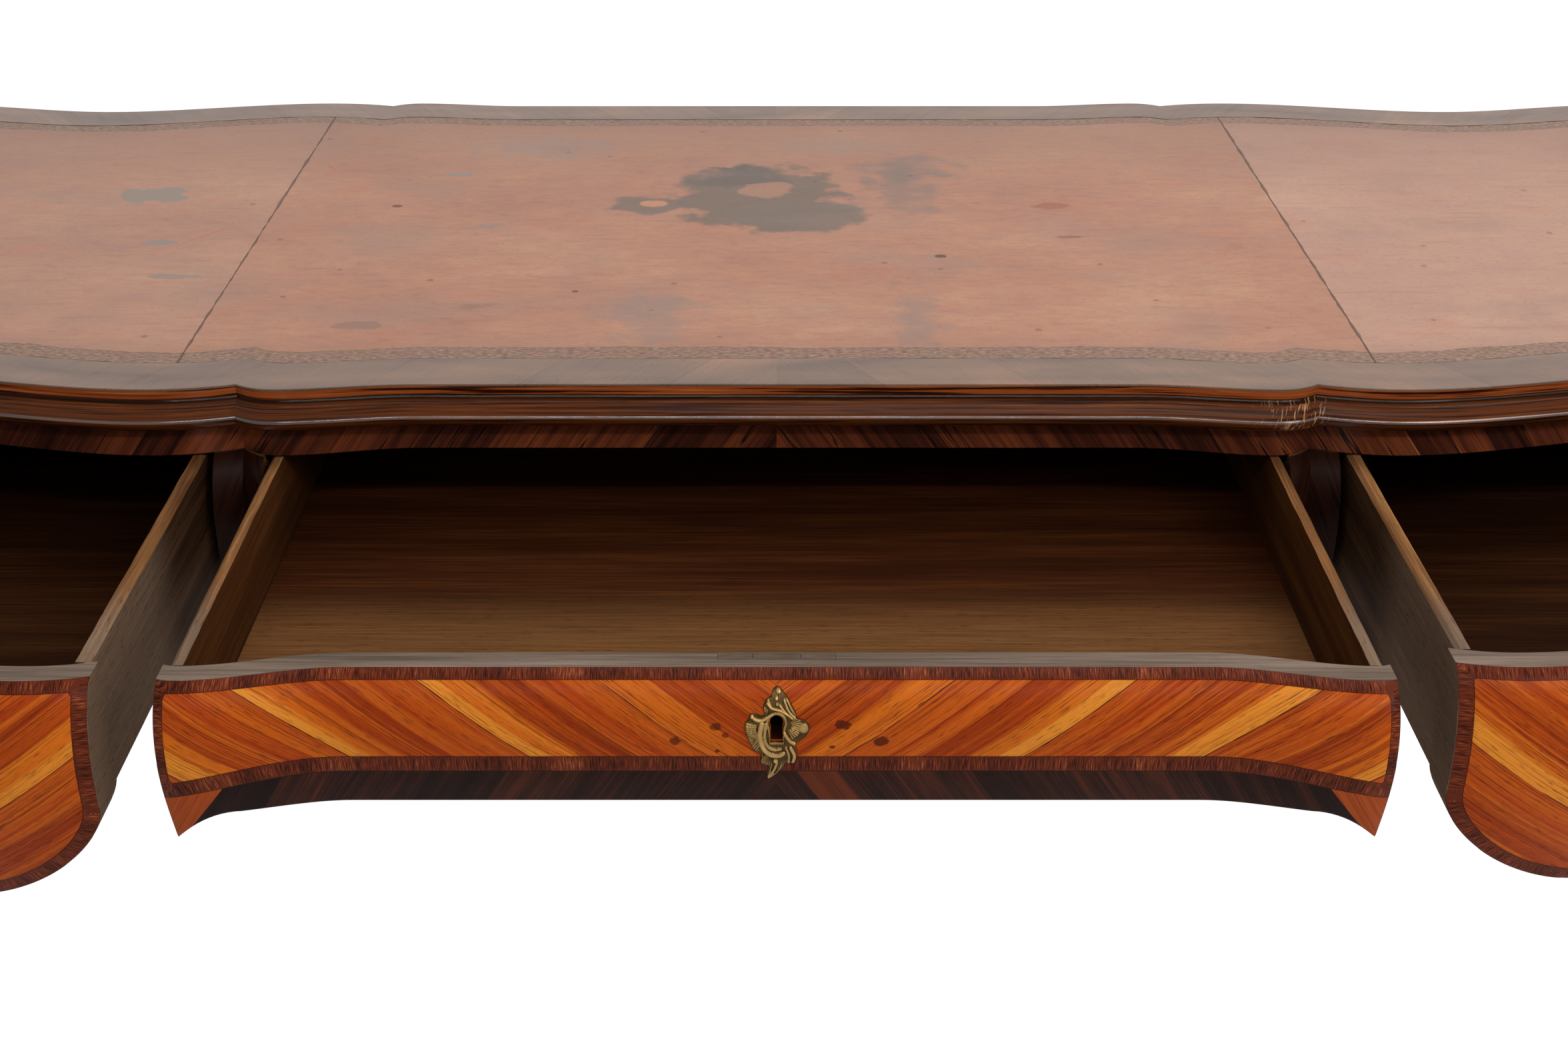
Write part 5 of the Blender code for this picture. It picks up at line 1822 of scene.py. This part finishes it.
        bm, spots = grid(columns, rows, lambda c, s: (*flat(c, s), 0.0))
        points = np.array([tuple(flat(*spot)) for spot in spots.values()])
        hole = np.array([(flat(c, s) - flat(c, 0.0)).length for c, s in spots.values()])
        edge = np.array([(outer[c] - flat(c, s)).length for c, s in spots.values()])
        height = self.relief(points, hole)
        drawn = np.minimum(edge / 0.8, hole / 0.5 + 0.35)
        height *= np.sqrt(np.clip(drawn, 0.16, 1.0))
        lifts = {vert: value / 1000 for vert, value in zip(spots, height)}
        paint(bm, "relief", {vert: (0.0, lift) for vert, lift in lifts.items()})
        foot = 0.0001

        def lay(px: float, pz: float, lift: float) -> tuple[float, float, float]:
            """Point over the front's face."""
            x = drawer.lock + px
            drop = drawer.key_drop - pz
            return x, plan.front(x, drop, drawer.belly) + drawer.shift - foot - lift, plan.drawer_top - drop

        for vert, (px, pz) in zip(spots, points):
            vert.co = lay(px / 1000, pz / 1000, lifts[vert])

        def under(co: Vector) -> tuple[float, float, float]:
            """Point of the plate's back."""
            return lay(co.x - drawer.lock, co.z - plan.drawer_top + drawer.key_drop, 0.0)

        thicken(bm, under, 0, 0)
        bmesh.ops.remove_doubles(bm, verts=bm.verts, dist=1e-6)
        node = f"escutcheon_{drawer.label}"
        piece(f"{node}_chased", bm, [brass], f"{drawer.label}_drawer", node)


@dataclass(frozen=True)
class Studio:
    """Pale room with soft light, and the camera that took the photo."""

    eye: tuple[float, float, float] = (0.0, -1.694, 1.408)
    pitch: float = 63.43
    lens: float = 50.0
    slide: float = 0.0047     # sideways shift of the frame
    ambient: float = 0.40     # light of the white room on rough surfaces
    glow: float = 1.10        # light of the floor towards the eye
    glow_share: float = 0.90  # the rest shows shadows

    def build(self) -> None:
        """Set up camera, room, floor and lamps."""
        self.camera()
        self.room()
        self.floor()
        self.lamp("key", (0.5, 0.3, 3.2), (0.0, 0.0, 0.7), (2.2, 2.2), 36.0)
        self.lamp("fill", (1.8, -1.9, 2.5), (0.2, -0.4, 0.6), (1.2, 1.2), 22.0)
        self.lamp("strip", (0.6, -2.6, 2.9), (0.6, -0.2, 0.75), (3.0, 0.10), 26.0)
        bpy.context.scene.view_settings.view_transform = "Standard"

    def camera(self) -> None:
        """Aim the camera."""
        data = bpy.data.cameras.new("camera")
        data.lens = self.lens
        data.sensor_width = 36.0
        data.shift_x = self.slide
        made = bpy.data.objects.new("camera", data)
        made.location = self.eye
        made.rotation_euler = (math.radians(self.pitch), 0.0, 0.0)
        bpy.context.scene.collection.objects.link(made)
        bpy.context.scene.camera = made

    def seen(self, t: Tree) -> Socket:
        """1 for rays that show a surface directly, in a gloss or through glass."""
        rays = t.add("LightPath").node.outputs
        total = rays["Is Camera Ray"]
        for name in ("Is Glossy Ray", "Is Transmission Ray"):
            total = t.add("Math MAXIMUM", total, rays[name])
        return total

    def room(self) -> None:
        """White all round, dimmer as a source of light."""
        t = Tree("studio", bpy.data.worlds.new("studio"))
        level = t.add("MapRange", self.seen(t), 0.0, 1.0, self.ambient, 1.0)
        t.shader.inputs["Color"].default_value = linear("#FFFFFF")
        t.links.new(level, t.shader.inputs["Strength"])
        bpy.context.scene.world = t.host

    def floor(self) -> None:
        """Pale floor that is white to the eye and still takes a faint shadow."""
        bm = bmesh.new()
        bmesh.ops.create_grid(bm, x_segments=1, y_segments=1, size=8.0)
        mesh = bpy.data.meshes.new("floor")
        bm.to_mesh(mesh)
        bm.free()
        t = Tree("pale_floor")
        t.shader.inputs["Base Color"].default_value = linear("#F0EEEA")
        t.shader.inputs["Roughness"].default_value = 0.8
        glow = t.add("Emission", "#FFFFFF", self.glow)
        share = t.sum((self.seen(t), self.glow_share))
        mix = t.add("MixShader", share, t.shader.outputs[0], glow)
        t.links.new(mix, t.nodes["Material Output"].inputs["Surface"])
        mesh.materials.append(t.host)
        made = bpy.data.objects.new("floor", mesh)
        made.location.z = -0.0005
        bpy.context.scene.collection.objects.link(made)

    def lamp(
        self, name: str, at: Sequence[float], towards: Sequence[float], size: Spot, power: float,
    ) -> None:
        """Soft lamp of some width and height, aimed at a point."""
        data = bpy.data.lights.new(name, "AREA")
        data.shape = "RECTANGLE"
        data.size, data.size_y = size
        data.energy = power
        made = bpy.data.objects.new(name, data)
        made.location = at
        made.rotation_euler = (Vector(towards) - Vector(at)).to_track_quat("-Z", "Y").to_euler()
        bpy.context.scene.collection.objects.link(made)


def main() -> None:
    """Build the table and its studio."""
    logging.basicConfig(level=logging.INFO, format="%(message)s")
    plan = Plan.read()
    drawers = [
        CentreDrawer(plan),
        SideDrawer(plan, "left", -0.7755, -0.4225, -0.599, 0.165, 5.0),
        SideDrawer(plan, "right", 0.4225, 0.7755, 0.599, 0.165, 7.0),
    ]
    oak = OldOak("carcass_oak", "#3A2616", "#5E4128", "#7E5C3C", along=0).make()
    WritingTop(plan).build(oak)
    Frieze(plan).build(drawers, oak)
    Legs(plan).build()
    woods = DrawerWoods.make()
    for drawer in drawers:
        drawer.build(woods)
    Studio().build()


if __name__ == "__main__":
    main()
